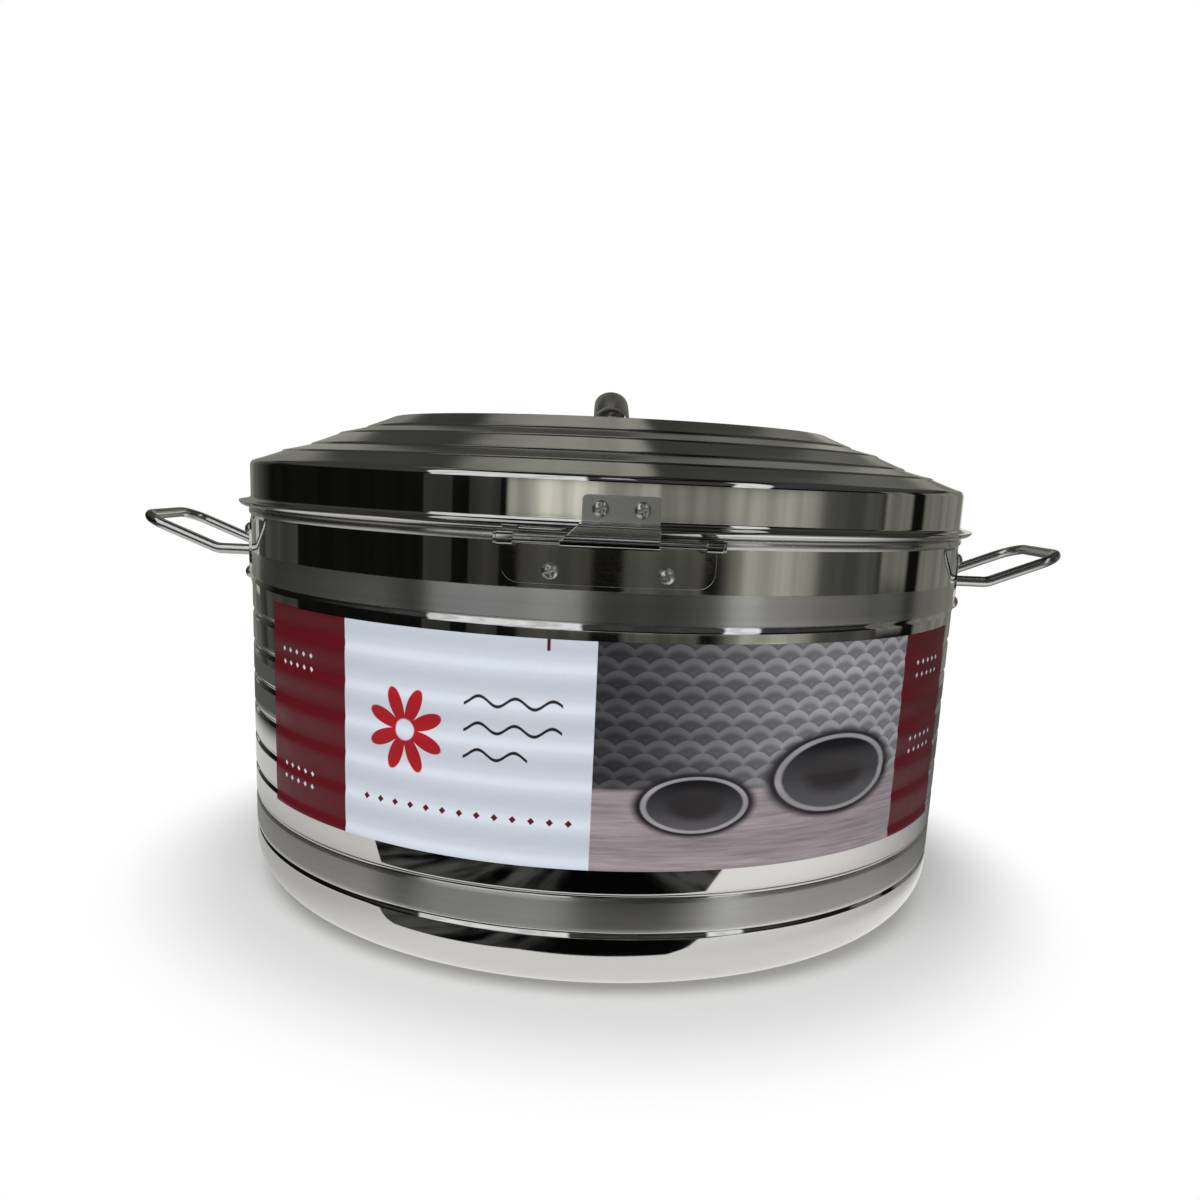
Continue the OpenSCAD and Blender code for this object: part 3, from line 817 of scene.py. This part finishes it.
def arc_points(middle: Point, radius: float, start: float, end: float, count: int) -> list[Point]:
    """Finds points of an arc in the section.

    Args:
        middle: The arc's centre.
        radius: Its radius.
        start: Its first angle in degrees.
        end: Its last angle in degrees.
        count: Number of steps.

    Returns:
        The points, both ends included.
    """
    angles = (math.radians(start + (end - start) * i / count) for i in range(count + 1))
    return [(middle[0] + radius * math.cos(a), middle[1] + radius * math.sin(a)) for a in angles]


@dataclass
class PotBody:
    """Outer shell with its grooves and ledge, and inner bowl with the folded rim."""

    materials: dict[str, Material]
    wall_gap: float = 24 * MM
    floor_gap: float = 30 * MM
    bowl_corner_r: float = 30 * MM
    hem_h: float = 4.4 * MM
    hem_out: float = 1.2 * MM
    groove_steps: int = 14
    groove_round: float = 1.2
    ledge_steps: int = 8
    corner_steps: int = 24
    bowl_steps: int = 20
    hem_steps: int = 10
    fold_steps: int = 4

    def _wall(self, radius: float, low: float, high: float) -> list[Point]:
        """Finds points up a wall, with the rolled grooves and the ledge below the upper band.

        Args:
            radius: The wall's radius.
            low: Height of its lower end.
            high: Height of its upper end.

        Returns:
            The points from the lower end up.
        """
        points = [(radius, low)]
        for level in SIZES.groove_levels:
            for i in range(self.groove_steps + 1):
                share = 2 * i / self.groove_steps - 1
                depth = SIZES.groove_d * (0.5 + 0.5 * math.cos(math.pi * share)) ** self.groove_round
                points.append((radius - depth, level + SIZES.groove_half * share))
        for i in range(self.ledge_steps + 1):
            share = i / self.ledge_steps
            depth = SIZES.ledge_d * share * share * (3 - 2 * share)
            points.append((radius - depth, SIZES.ledge_z - SIZES.ledge_h * (1 - share)))
        return points + [(radius, SIZES.ledge_z + SIZES.ledge_lip), (radius, high)]

    def outer_shell(self) -> Piece:
        """Makes the outer shell.

        Returns:
            The shell.
        """
        r, sheet, corner = SIZES.body_r, SIZES.sheet, SIZES.corner_r
        middle = (r - corner, sheet + corner)
        top = SIZES.rim_z - sheet - SIZES.fit
        foot = r - corner - SIZES.foot_w
        outline = [(foot, sheet)] + arc_points(middle, corner, -90, 0, self.corner_steps)
        outline += self._wall(r, middle[1] + MM, top)
        outline += reversed(self._wall(r - sheet, middle[1] + MM, top))
        outline += arc_points(middle, corner - sheet, 0, -90, self.corner_steps) + [(foot, 2 * sheet)]
        piece = lathe("body_shell", outline)
        piece.data.materials.append(self.materials["body"])
        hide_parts("outer_shell")
        return piece

    def inner_bowl(self) -> Piece:
        """Makes the bowl with its rim folded over the shell.

        Returns:
            The bowl.
        """
        r, sheet, fit, rim = SIZES.body_r, SIZES.sheet, SIZES.fit, SIZES.rim_z
        bowl_r = r - sheet - self.wall_gap - sheet
        floor = 2 * sheet + self.floor_gap
        middle = (bowl_r - self.bowl_corner_r, floor + self.bowl_corner_r)
        bead = self.hem_out - fit
        bead_r = ((self.hem_h / 2) ** 2 + bead ** 2) / (2 * bead)
        spread = math.degrees(math.asin(self.hem_h / 2 / bead_r))
        bead_at = (r + self.hem_out - bead_r, rim - self.hem_h / 2)
        outline = [(0.0, floor)] + arc_points(middle, self.bowl_corner_r, -90, 0, self.bowl_steps)
        outline.append((bowl_r, rim - sheet))
        outline += arc_points((bowl_r + sheet, rim - sheet), sheet, 180, 90, self.fold_steps)
        outline += arc_points(bead_at, bead_r, spread, -spread, self.hem_steps)
        outline += [(r + fit, rim - sheet), (bowl_r + sheet, rim - sheet)]
        outline += arc_points(middle, self.bowl_corner_r + sheet, 0, -90, self.bowl_steps)
        outline.append((0.0, floor - sheet))
        piece = lathe("bowl_with_rim", outline)
        piece.data.materials.append(self.materials["bowl"])
        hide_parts("inner_bowl")
        return piece

    def build(self) -> list[Piece]:
        """Makes both turned pieces, which ride on the pot.

        Returns:
            The pieces.
        """
        pieces = [self.outer_shell(), self.inner_bowl()]
        for piece in pieces:
            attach(piece, "pot")
        return pieces


@dataclass
class WrapLabel:
    """Printed label round the front, pressed a little into the grooves."""

    sizes: LabelSizes
    material: Material
    columns: int = 220
    rows: int = 200

    def _depth(self, height: float) -> float:
        """Finds how far the paper is pressed in.

        Args:
            height: Height above the table.

        Returns:
            The depth, which fades out at the paper's edges.
        """
        sizes, depth = self.sizes, 0.0
        for level in SIZES.groove_levels:
            away = height - level
            wide = SIZES.groove_pitch - sizes.dip_below if away > 0 else sizes.dip_below
            for width in (wide, SIZES.groove_half):
                if abs(away) < width:
                    depth += sizes.dip * (0.5 + 0.5 * math.cos(math.pi * away / width))
        return depth * min(1.0, min(height - sizes.low, sizes.high - height) / sizes.dip_fade)

    def build(self) -> Piece:
        """Makes the label, which rides on the pot.

        Returns:
            The label.
        """
        sizes = self.sizes
        verts: list[Point3] = []
        for side in range(2):
            for row in range(self.rows + 1):
                height = sizes.low + (sizes.high - sizes.low) * row / self.rows
                radius = sizes.face_r - side * sizes.thick - self._depth(height)
                for column in range(self.columns + 1):
                    angle = math.radians(sizes.left + (sizes.right - sizes.left) * column / self.columns)
                    verts.append((radius * math.sin(angle), -radius * math.cos(angle), height))
        width = self.columns + 1
        last = self.rows * width
        back = last + width
        faces: list[list[int]] = []
        for row in range(self.rows):
            for column in range(self.columns):
                a = row * width + column
                quad = [a, a + 1, a + 1 + width, a + width]
                faces += [quad, [back + v for v in reversed(quad)]]
        rim = [*range(width), *range(2 * width - 1, back, width)]
        rim += [*range(last + width - 2, last - 1, -1), *range(last - width, 0, -width)]
        for a, b in zip(rim, rim[1:] + rim[:1]):
            faces.append([b, a, back + a, back + b])
        piece = mesh_piece("printed_label", verts, faces, sharp=50.0)
        piece.data.materials.append(self.material)
        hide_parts("wrap_label")
        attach(piece, "pot")
        return piece


@dataclass
class PotLid:
    """Ringed lid shell and the bow handle on top of it."""

    materials: dict[str, Material]
    flare_w: float = 6.7 * MM
    flare_h: float = 6.0 * MM
    flare_tip_h: float = 3.2 * MM
    flare_steps: int = 10
    shoulder_r: float = 3.5 * MM
    shoulder_steps: int = 14
    top_r: float = 135.6 * MM
    ring_count: int = 5
    ring_steps: int = 10
    ring_start: float = 0.06
    slope: float = 19.7
    ring_wave: float = 0.6 * MM
    ring_sag: float = 0.12 * MM
    step_h: float = 0.6 * MM
    step_w: float = 0.75 * MM
    step_round: int = 5
    step_reach: float = 0.8 * MM
    step_share: float = 0.3
    top_step: float = 1.1
    bow_w: float = 20.4 * MM
    bow_depth: float = 8.0 * MM
    bow_t: float = 1.4 * MM
    bow_h: float = 21.96 * MM
    bow_span: float = 160 * MM
    bow_foot: float = 18 * MM
    bow_foot_r: float = 7 * MM
    bow_foot_steps: int = 8
    bow_steps: int = 72
    bow_sides: int = 24

    def _edges(self) -> list[Point]:
        """Finds the shoulder's end and each ring's upper edge.

        Returns:
            Their radius, and height above the lid's lower edge.
        """
        tan, end = math.tan(math.radians(self.slope)), math.radians(90 - self.slope)
        start_r = SIZES.body_r - self.shoulder_r + self.shoulder_r * math.cos(end)
        start_z = SIZES.band_h + self.shoulder_r * math.sin(end)
        ring_w = (start_r - self.top_r) / self.ring_count
        edges = []
        for i in range(self.ring_count + 1):
            wave = 0.0 if i in (0, self.ring_count) else self.ring_wave if i % 2 else -self.ring_wave
            edges.append((start_r - i * ring_w, start_z + i * ring_w * tan + wave))
        return edges

    @property
    def top(self) -> float:
        """Height of the lid's flat top above the table."""
        return SIZES.lid_z + self._edges()[-1][1]

    def _slope(self) -> list[Point]:
        """Finds points up the slope: hollow rings by turns steep and flat, each with a small rounded step.

        Returns:
            The points from the shoulder to the flat top.
        """
        edges = self._edges()
        drop = self.step_w * math.tan(math.radians(self.slope))
        feet = [(r + self.step_w, z - drop - self.step_h) for r, z in edges[1:-1]]
        feet.append((self.top_r + self.step_w, edges[-1][1] - drop * self.top_step))
        points: list[Point] = []
        for i, foot in enumerate(feet):
            first, edge = edges[i], edges[i + 1]
            for k in range(1, self.ring_steps + 1):
                share = self.ring_start + (1 - self.ring_start) * k / self.ring_steps
                sag = 4 * self.ring_sag * share * (1 - share)
                r, z = (p + (q - p) * share for p, q in zip(first, foot))
                points.append((r, z - sag))
            ahead = feet[i + 1] if i + 1 < len(feet) else (0.0, edge[1])
            reach = self.step_reach / math.dist(edge, ahead)
            before = [p + self.step_share * (q - p) for p, q in zip(foot, edge)]
            after = [p + reach * (q - p) for p, q in zip(edge, ahead)]
            for k in range(self.step_round + 1):
                t = k / self.step_round
                r, z = ((1 - t) ** 2 * p + 2 * t * (1 - t) * q + t * t * s
                        for p, q, s in zip(before, edge, after))
                points.append((r, z))
        return points

    def shell(self) -> Piece:
        """Makes the lid shell.

        Returns:
            The shell.
        """
        r, sheet = SIZES.body_r, SIZES.sheet
        middle = (r - self.shoulder_r, SIZES.band_h)
        roof = sheet / math.cos(math.radians(self.slope))
        angles = [math.radians(90 * i / self.flare_steps) for i in range(self.flare_steps + 1)]
        tip_drop = self.flare_h - self.flare_tip_h
        outline = [(r - sheet, 0.0)]
        outline += [(r + MM + (self.flare_w - MM) * math.sin(a), self.flare_tip_h * (1 - math.cos(a)))
                    for a in angles]
        outline += [(r + self.flare_w * (1 - math.sin(a)), self.flare_h - tip_drop * math.cos(a))
                    for a in angles[1:]]
        slope, steep = self._slope(), 90 - self.slope
        outline.append((r, self.flare_h + MM))
        outline += arc_points(middle, self.shoulder_r, 0, steep, self.shoulder_steps) + slope
        outline += [(0.0, slope[-1][1]), (0.0, slope[-1][1] - roof)]
        outline += [(p[0], p[1] - roof) for p in reversed(slope)]
        outline += arc_points(middle, self.shoulder_r - sheet, steep, 0, self.shoulder_steps)
        piece = lathe("lid_cover", [(p[0], p[1] + SIZES.lid_z) for p in outline], sharp=20.0)
        piece.data.materials.append(self.materials["lid"])
        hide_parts("lid_shell")
        return piece

    def bow_handle(self) -> Piece:
        """Makes the hollow half-round bow with its flat feet.

        Returns:
            The handle.
        """
        rise, steps, sides = self.bow_h - self.bow_depth, self.bow_steps, self.bow_sides
        bow_r = ((self.bow_span / 2) ** 2 + rise ** 2) / (2 * rise)
        base = self.top + SIZES.fit
        turns = [math.pi * i / sides for i in range(sides + 1)]
        section = [(self.bow_w / 2 * math.cos(a), self.bow_depth * math.sin(a)) for a in turns]
        section += [((self.bow_w / 2 - self.bow_t) * math.cos(a), (self.bow_depth - self.bow_t) * math.sin(a))
                    for a in reversed(turns)]
        count = len(section)
        verts: list[Point3] = []
        for i in range(steps + 1):
            y = -self.bow_span / 2 + self.bow_span * i / steps
            for across, up in section:
                height = base + rise - bow_r + math.sqrt((bow_r + up) ** 2 - y * y)
                verts.append((across, y, max(height, base)))
        faces: list[list[int]] = []
        for i in range(steps):
            for k in range(count):
                a, b = i * count + k, i * count + (k + 1) % count
                faces.append([a, a + count, b + count, b])
        end = steps * count
        for k in range(sides):
            faces.append([k, k + 1, count - 2 - k, count - 1 - k])
            faces.append([end + k + 1, end + k, end + count - 1 - k, end + count - 2 - k])
        for sign in (-1, 1):
            self._foot(verts, faces, sign, base)
        piece = mesh_piece("bow_handle", verts, faces, sharp=40.0)
        piece.data.materials.append(self.materials["bow"])
        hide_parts("lid_bow_handle")
        return piece

    def _foot(self, verts: list[Point3], faces: list[list[int]], sign: int, base: float) -> None:
        """Adds a flat foot with a round outer end.

        Args:
            verts: The handle's points so far.
            faces: Its faces so far.
            sign: -1 for the foot at the hinge's side, 1 for the other.
            base: Height of the foot's underside.
        """
        half, start, radius = self.bow_w / 2, self.bow_span / 2 - self.bow_t, self.bow_foot_r
        end = self.bow_span / 2 + self.bow_foot
        outline = [(-half, start), (half, start)]
        outline += arc_points((half - radius, end - radius), radius, 0, 90, self.bow_foot_steps)
        outline += arc_points((radius - half, end - radius), radius, 90, 180, self.bow_foot_steps)
        first, count = len(verts), len(outline)
        for height in (base, base + self.bow_t):
            verts.extend((x, sign * y, height) for x, y in outline)
        low, high = list(range(first, first + count)), list(range(first + count, first + 2 * count))
        made = [high, low[::-1]]
        for k in range(count):
            m = (k + 1) % count
            made.append([low[k], low[m], high[m], high[k]])
        faces.extend(made if sign > 0 else [face[::-1] for face in made])

    def build(self) -> list[Piece]:
        """Makes the lid's pieces, which ride on the lid.

        Returns:
            The pieces.
        """
        pieces = [self.shell(), self.bow_handle()]
        for piece in pieces:
            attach(piece, "lid")
        return pieces


@dataclass(frozen=True)
class Fade:
    """A smooth change of level where a value passes an edge; a negative softness turns it round."""

    edge: float
    soft: float
    start: float = 0.0
    end: float = 1.0

    def at(self, graph: Graph, value: Value) -> Value:
        """The level at a value."""
        return graph.scaled(graph.step(value, self.edge, self.soft), self.start, self.end)


@dataclass(frozen=True)
class SoftPanel:
    """A bright or dim patch of the studio round the pot, in degrees from the hinge and above the table."""

    left: float
    right: float
    low: float
    high: float
    level: float
    side: float
    up: float


@dataclass
class Studio:
    """Camera, pale floor, plain soft light and the dim room that the steel mirrors."""

    focal_px: float = 1045.0
    frame_px: float = 1200.0
    sensor: float = 36.0
    centre_drop_px: float = 90.0
    distance: float = 691.7 * MM
    height: float = 253.3 * MM
    azimuth: float = -0.6
    pitch: float = 11.48
    yaw: float = 0.117
    roll: float = 2.6
    fill_light: float = 0.5
    lamp_at: Point3 = (-0.3, -1.3, 1.75)
    lamp_aim: Point3 = (0, 0, 0.1)
    lamp_size: float = 1.6
    lamp_power: float = 34.0
    floor_r: float = 0.9
    floor_sides: int = 90
    floor_grey: float = 0.74
    floor_rough: float = 0.9
    floor_z: float = -0.4 * MM
    floor_white: Fade = Fade(0.27, 0.1)
    table_z: float = 0.2 * MM
    table_least: float = 0.1
    right_side: Fade = Fade(0.0, 0.1)
    right_away: Fade = Fade(0.25, 0.04)
    right_back: Fade = Fade(-0.06, 0.5, 0.0, 0.85)
    left_side: Fade = Fade(-0.16, -0.14)
    left_back: Fade = Fade(-0.2, 0.5, 0.2, 0.36)
    # Painted shadow of the pot on the mirrored table: a slight dimming close to the pot.
    painted_shade_near_pot: Fade = Fade(0.32, -0.1, 0.0, 0.14)
    far_off: Fade = Fade(0.55, 0.2, 0.0, 0.7)
    ground_z: float = 0.3 * MM
    ground_middle: float = 25 * MM
    ground_levels: Point = (0.002, 0.085)
    ground_beside: Fade = Fade(0.075, 0.05)
    dark_ground: tuple[Point, ...] = (
        (-0.145, -0.215), (-0.05, -0.25), (0.053, -0.25), (0.083, -0.271), (0.59, -0.707), (0.59, -0.85),
        (-0.73, -0.85), (-0.73, -0.375), (-0.178, -0.22),
    )
    room_level: float = 0.006
    room_r: float = 3.0
    room_streaks: Fade = Fade(0.5, 0.3, 0.8, 1.2)
    room_colour: Colour = (1.0, 1.0, 0.88)
    panels: tuple[SoftPanel, ...] = tuple(SoftPanel(*row) for row in (
        (-28, -3, 2.1, 7, 0.35, 1.5, 1.5),
        (-20, -3, 2.1, 7, 0.35, 8, 1.5),
        (-24, -4, -6, 2.1, 0.065, 3, 1),
        (5, 27, -6, 2.1, 0.08, 3, 1),
        (14, 38, 2, 7, 0.25, 3, 2),
        (-3, 14, 2.1, 7, 0.36, 2, 1.5),
        (-3, 9, 44, 62, 0.4, 2, 4),
        (37, 60, -6, 7, 0.42, 14, 3),
        (58, 88, -12, 10, 0.07, 10, 5),
        (88, 101, -1, 24, 0.17, 2, 3),
        (108, 190, -16, 20, 0.2, 3, 4),
        (148, 190, 2, 9, 0.6, 4, 3),
        (-215, -140, -16, 24, 0.25, 40, 6),
        (-141, -136, -2.5, 1.8, 0.4, 1, 1),
        (-128, -104, -8, 1.8, 0.05, 2, 1.5),
        (-22, -16, -7, -3.2, 0.14, 2, 1),
        (26, 33, -7, -3.2, 0.14, 2, 1),
        (44, 55, -7, -2, 0.18, 3, 1),
        (-53, -44, -8, 14, 0.03, 1, 2),
        (-39, -30, -8, 14, 0.035, 1, 2),
        (-190, 190, 24, 62, 0.05, 10, 10),
        (173.7, 190, 38.5, 56, 0.27, 1.5, 2),
        (-190, -163.5, 38, 56, 0.27, 3, 2),
        (172, 190, 58, 72, 0.3, 3, 3),
        (-190, -120, 58, 72, 0.3, 10, 3),
        (146, 176.5, 14, 33.5, 0.13, 4, 3),
        (-190, 190, 78, 95, 0.04, 10, 10),
    ))
    tall_lamps: tuple[SoftPanel, ...] = (
        SoftPanel(-51, -6, 9, 62, 0.84, 1.5, 3),
        SoftPanel(34.6, 45.6, 10, 62, 0.9, 1.5, 3),
    )
    lamp_foot: float = 10.0
    lamp_lean: float = 0.00021
    lamp_zone: tuple[float, float, float] = (-64.0, 58.0, 4.0)
    lamp_rise: Fade = Fade(9.0, 3.0)
    lamp_colour: Colour = (0.95, 0.98, 1.0)

    def camera(self) -> None:
        """Places the camera as the photograph's was."""
        turn = Matrix.Rotation(math.radians(self.azimuth), 3, "Z")
        yaw, pitch, roll = (math.radians(a) for a in (self.yaw, self.pitch, self.roll))
        right = Vector((math.cos(yaw), -math.sin(yaw), 0))
        level = Vector((math.sin(yaw), math.cos(yaw), 0))
        ahead = level * math.cos(pitch) - Vector((0, 0, 1)) * math.sin(pitch)
        up = level * math.sin(pitch) + Vector((0, 0, 1)) * math.cos(pitch)
        across = right * math.cos(roll) + up * math.sin(roll)
        upward = up * math.cos(roll) - right * math.sin(roll)
        axes = [turn @ v for v in (across, upward, -ahead)]
        place = turn @ Vector((0, -self.distance, 0)) + Vector((0, 0, self.height))
        data = bpy.data.cameras.new("photo_camera")
        data.sensor_width = self.sensor
        data.sensor_fit = "HORIZONTAL"
        data.lens = self.focal_px * self.sensor / self.frame_px
        data.shift_y = self.centre_drop_px / self.frame_px
        data.clip_start = 0.01
        camera = bpy.data.objects.new("photo_camera", data)
        bpy.context.scene.collection.objects.link(camera)
        camera.matrix_world = Matrix.Translation(place) @ Matrix(axes).transposed().to_4x4()
        bpy.context.scene.camera = camera

    @staticmethod
    def _seen(graph: Graph) -> Value:
        """Is 1 for rays from the eye: straight, mirrored or through something clear."""
        rays = graph.add("LightPath").outputs
        return graph.most(*(rays[f"Is {kind} Ray"] for kind in ("Camera", "Glossy", "Transmission")))

    @staticmethod
    def _mixed(graph: Graph, share: Value, first: Node, second: Node) -> Value:
        """Mixes two shaders by the share of the second one."""
        return graph.value("MixShader", {0: share, 1: first.outputs[0], 2: second.outputs[0]})

    def world(self) -> None:
        """Makes a white background and an even light for everything matt."""
        world = bpy.data.worlds.new("white_studio")
        world.use_nodes = True
        bpy.context.scene.world = world
        world.node_tree.nodes.clear()
        graph = Graph(world.node_tree)
        light, white = graph.add("Background"), graph.add("Background")
        light.inputs["Strength"].default_value = self.fill_light
        light.inputs["Color"].default_value = white.inputs["Color"].default_value = (1, 1, 1, 1)
        surface = self._mixed(graph, self._seen(graph), light, white)
        graph.feed(graph.add("OutputWorld").inputs["Surface"], surface)

    def floor(self) -> None:
        """Makes a pale floor that keeps the pot's shadow and fades into the white background."""
        floor = self._disc("floor", self.floor_z)
        material, graph, shader = new_material("pale_floor")
        graph.feed(shader.inputs["Base Color"], (self.floor_grey,) * 3)
        shader.inputs["Roughness"].default_value = self.floor_rough
        shader.inputs["Specular IOR Level"].default_value = 0.0
        x, y, _ = graph.split(graph.place())
        share = self._seen(graph) * self.floor_white.at(graph, graph.length(x, y))
        surface = self._mixed(graph, share, shader, graph.add("Emission"))
        graph.feed(material.node_tree.nodes["Material Output"].inputs["Surface"], surface)
        material.cycles.emission_sampling = "NONE"
        floor.data.materials.append(material)

    def _disc(self, name: str, height: float) -> Piece:
        """Makes a round sheet as wide as the table.

        Args:
            name: The sheet's name.
            height: Its height.

        Returns:
            The sheet.
        """
        edge = [math.radians(360 * i / self.floor_sides) for i in range(self.floor_sides)]
        verts = [(self.floor_r * math.cos(a), self.floor_r * math.sin(a), height) for a in edge]
        return mesh_piece(name, verts, [list(range(self.floor_sides))])

    @staticmethod
    def _show_in_steel(piece: Piece, material: Material, level: Value,
                       colour: object = (1.0, 1.0, 1.0)) -> None:
        """Lights up a stage piece that shows only in reflections and isn't itself a lamp.

        Args:
            piece: The stage piece.
            material: Its new material.
            level: Strength of the light.
            colour: Colour of the light.
        """
        graph, nodes = level.graph, material.node_tree.nodes
        glow = graph.value("Emission", {"Strength": level, "Color": colour})
        graph.feed(nodes["Material Output"].inputs["Surface"], glow)
        nodes.remove(nodes["Principled BSDF"])
        material.cycles.emission_sampling = "NONE"
        piece.data.materials.append(material)
        piece.visible_camera = piece.visible_diffuse = False
        piece.visible_shadow = piece.visible_volume_scatter = False

    def room(self) -> None:
        """Makes the dim room with soft panels and two tall lamps, which lean outward as they rise."""
        bpy.ops.mesh.primitive_uv_sphere_add(segments=96, ring_count=48, radius=self.room_r)
        dome = bpy.context.object
        dome.name = "studio_room"
        material, graph, _ = new_material("studio_room")
        x, y, z = graph.split(graph.place())
        around = graph.math("DEGREES", graph.math("ARCTAN2", x, -y))
        above = graph.math("DEGREES", graph.math("ARCSINE", z / self.room_r))
        higher = graph.most(above - self.lamp_foot, 0.0)
        upright = around / graph.math("MULTIPLY_ADD", higher * higher, self.lamp_lean, 1.0)
        level: object = self.room_level
        for place, panels in ((around, self.panels), (upright, self.tall_lamps)):
            for panel in panels:
                patch = (graph.between(place, panel.left, panel.right, panel.side)
                         * graph.between(above, panel.low, panel.high, panel.up))
                level = graph.math("MULTIPLY_ADD", patch, panel.level, level)
        uneven = graph.noise((around * 0.14, above * 0.02, 0.0), detail=2.0, rough=0.5)
        streaks = self.room_streaks.at(graph, uneven)
        lamps = graph.between(upright, *self.lamp_zone) * self.lamp_rise.at(graph, above)
        colour = graph.tint(lamps, self.room_colour, self.lamp_colour)
        self._show_in_steel(dome, material, level * streaks, colour)

    def table_front(self) -> None:
        """Makes the dark ground beyond the table's front edge, which shows only in the steel."""
        verts = [(x, y, self.ground_z) for x, y in self.dark_ground]
        card = mesh_piece("dark_ground", verts, [list(range(len(verts)))])
        material, graph, _ = new_material("dark_ground")
        x, y, _ = graph.split(graph.place())
        uneven = graph.noise((x * 26.0, y * 5.0, 0.0), detail=3.0, rough=0.5)
        streaks = graph.step(uneven, edge=0.5, soft=0.25)
        shade = streaks * self.ground_beside.at(graph, abs(x - self.ground_middle))
        self._show_in_steel(card, material, graph.scaled(shade, *self.ground_levels))

    def table_top(self) -> None:
        """Makes the white table that only the steel shows, dimmer to the left, the back right and far off,
        and a little dimmer near the pot as a painted shadow of the pot.
        """
        card = self._disc("mirrored_table", self.table_z)
        material, graph, _ = new_material("mirrored_table")
        x, y, _ = graph.split(graph.place())
        away = graph.length(x, y)
        right = self.right_side.at(graph, x) * self.right_away.at(graph, away) * self.right_back.at(graph, y)
        left = self.left_side.at(graph, x) * self.left_back.at(graph, y)
        # The fall near the pot dims the mirrored table there, a painted shadow of the pot.
        ends = graph.most(self.painted_shade_near_pot.at(graph, away), self.far_off.at(graph, away))
        level = 1.0 - (graph.most(right, left) + ends)
        self._show_in_steel(card, material, graph.most(level, self.table_least))

    def lamp(self) -> None:
        """Places one large soft lamp above and in front."""
        place = Vector(self.lamp_at)
        data = bpy.data.lights.new("soft_lamp", "AREA")
        data.size = self.lamp_size
        data.energy = self.lamp_power
        lamp = bpy.data.objects.new("soft_lamp", data)
        bpy.context.scene.collection.objects.link(lamp)
        lamp.location = place
        lamp.rotation_euler = (Vector(self.lamp_aim) - place).to_track_quat("-Z", "Y").to_euler()
        lamp.visible_camera = lamp.visible_glossy = False

    def build(self) -> None:
        """Sets up the whole studio."""
        for make in (self.camera, self.world, self.floor, self.room,
                     self.table_front, self.table_top, self.lamp):
            make()
        bpy.context.scene.view_settings.view_transform = "Standard"


class Hardware:
    """Finishes of the modelled nodes that stay as they are."""

    def __init__(self, materials: dict[str, Material]) -> None:
        """Keeps the finished materials by name."""
        self.materials = materials

    def dress(self) -> list[Piece]:
        """Gives each modelled node its finish.

        Returns:
            The dressed nodes.
        """
        finishes: dict[str, tuple[str, ...]] = {
            "wire": ("left_handle_loop", "right_handle_loop", "hinge_pin"),
            "plate": ("left_handle_plate", "right_handle_plate", "hinge_body_leaf"),
            "leaf": ("hinge_lid_leaf",),
            "bow": ("lid_handle_rivets",),
            "screw": ("left_handle_rivets", "right_handle_rivets", "hinge_lid_screws", "hinge_body_screws",
                      "hinge_body_nuts", "hinge_lid_nuts"),
            "bowl": ("lid_pan", "base_plate"),
            "foam": ("body_insulation", "lid_insulation"),
        }
        dressed = []
        for finish, nodes in finishes.items():
            for name in nodes:
                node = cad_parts[name]
                node.data.materials.clear()
                node.data.materials.append(self.materials[finish])
                dressed.append(node)
        return dressed


def make_materials() -> dict[str, Material]:
    """Makes every finish.

    Returns:
        The materials by the name of their use.
    """
    effects = SharedEffects()
    finishes: dict[str, SteelFinish | FittingFinish | LabelPrint] = {
        "body": SteelFinish("body_steel", SteelBands.BODY),
        "lid": SteelFinish("lid_steel", SteelBands.LID, satin=0.1),
        "bowl": SteelFinish("bowl_steel", SteelBands.ALL, satin=0.26, lines=1200.0),
        "bow": FittingFinish("bow_steel", colour=(0.42, 0.41, 0.39), rough=0.3),
        "wire": FittingFinish("wire_steel", colour=(0.68, 0.67, 0.65), rough=0.15),
        "plate": FittingFinish("plate_steel", rough=0.05),
        "leaf": FittingFinish("leaf_steel", colour=(0.7, 0.69, 0.66), rough=0.38, polished_below=234 * MM),
        "screw": FittingFinish("screw_steel", colour=(0.7, 0.69, 0.66), rough=0.3),
        "label": LabelPrint("label_print", LabelSizes()),
    }
    made = {name: finish.build(effects) for name, finish in finishes.items()}
    return {**made, "foam": FoamFinish("cream_foam").build()}


def main() -> None:
    """Builds the pot's looks piece by piece and reports each."""
    logging.basicConfig(level=logging.INFO, format="%(message)s")
    materials = make_materials()
    Studio().build()
    pieces = PotBody(materials).build()
    pieces.append(WrapLabel(LabelSizes(), materials["label"]).build())
    pieces += PotLid(materials).build()
    pieces += Hardware(materials).dress()
    for piece in pieces:
        LOG.info("piece %s: %d faces", piece.name, len(piece.data.polygons))


if __name__ == "__main__":
    main()
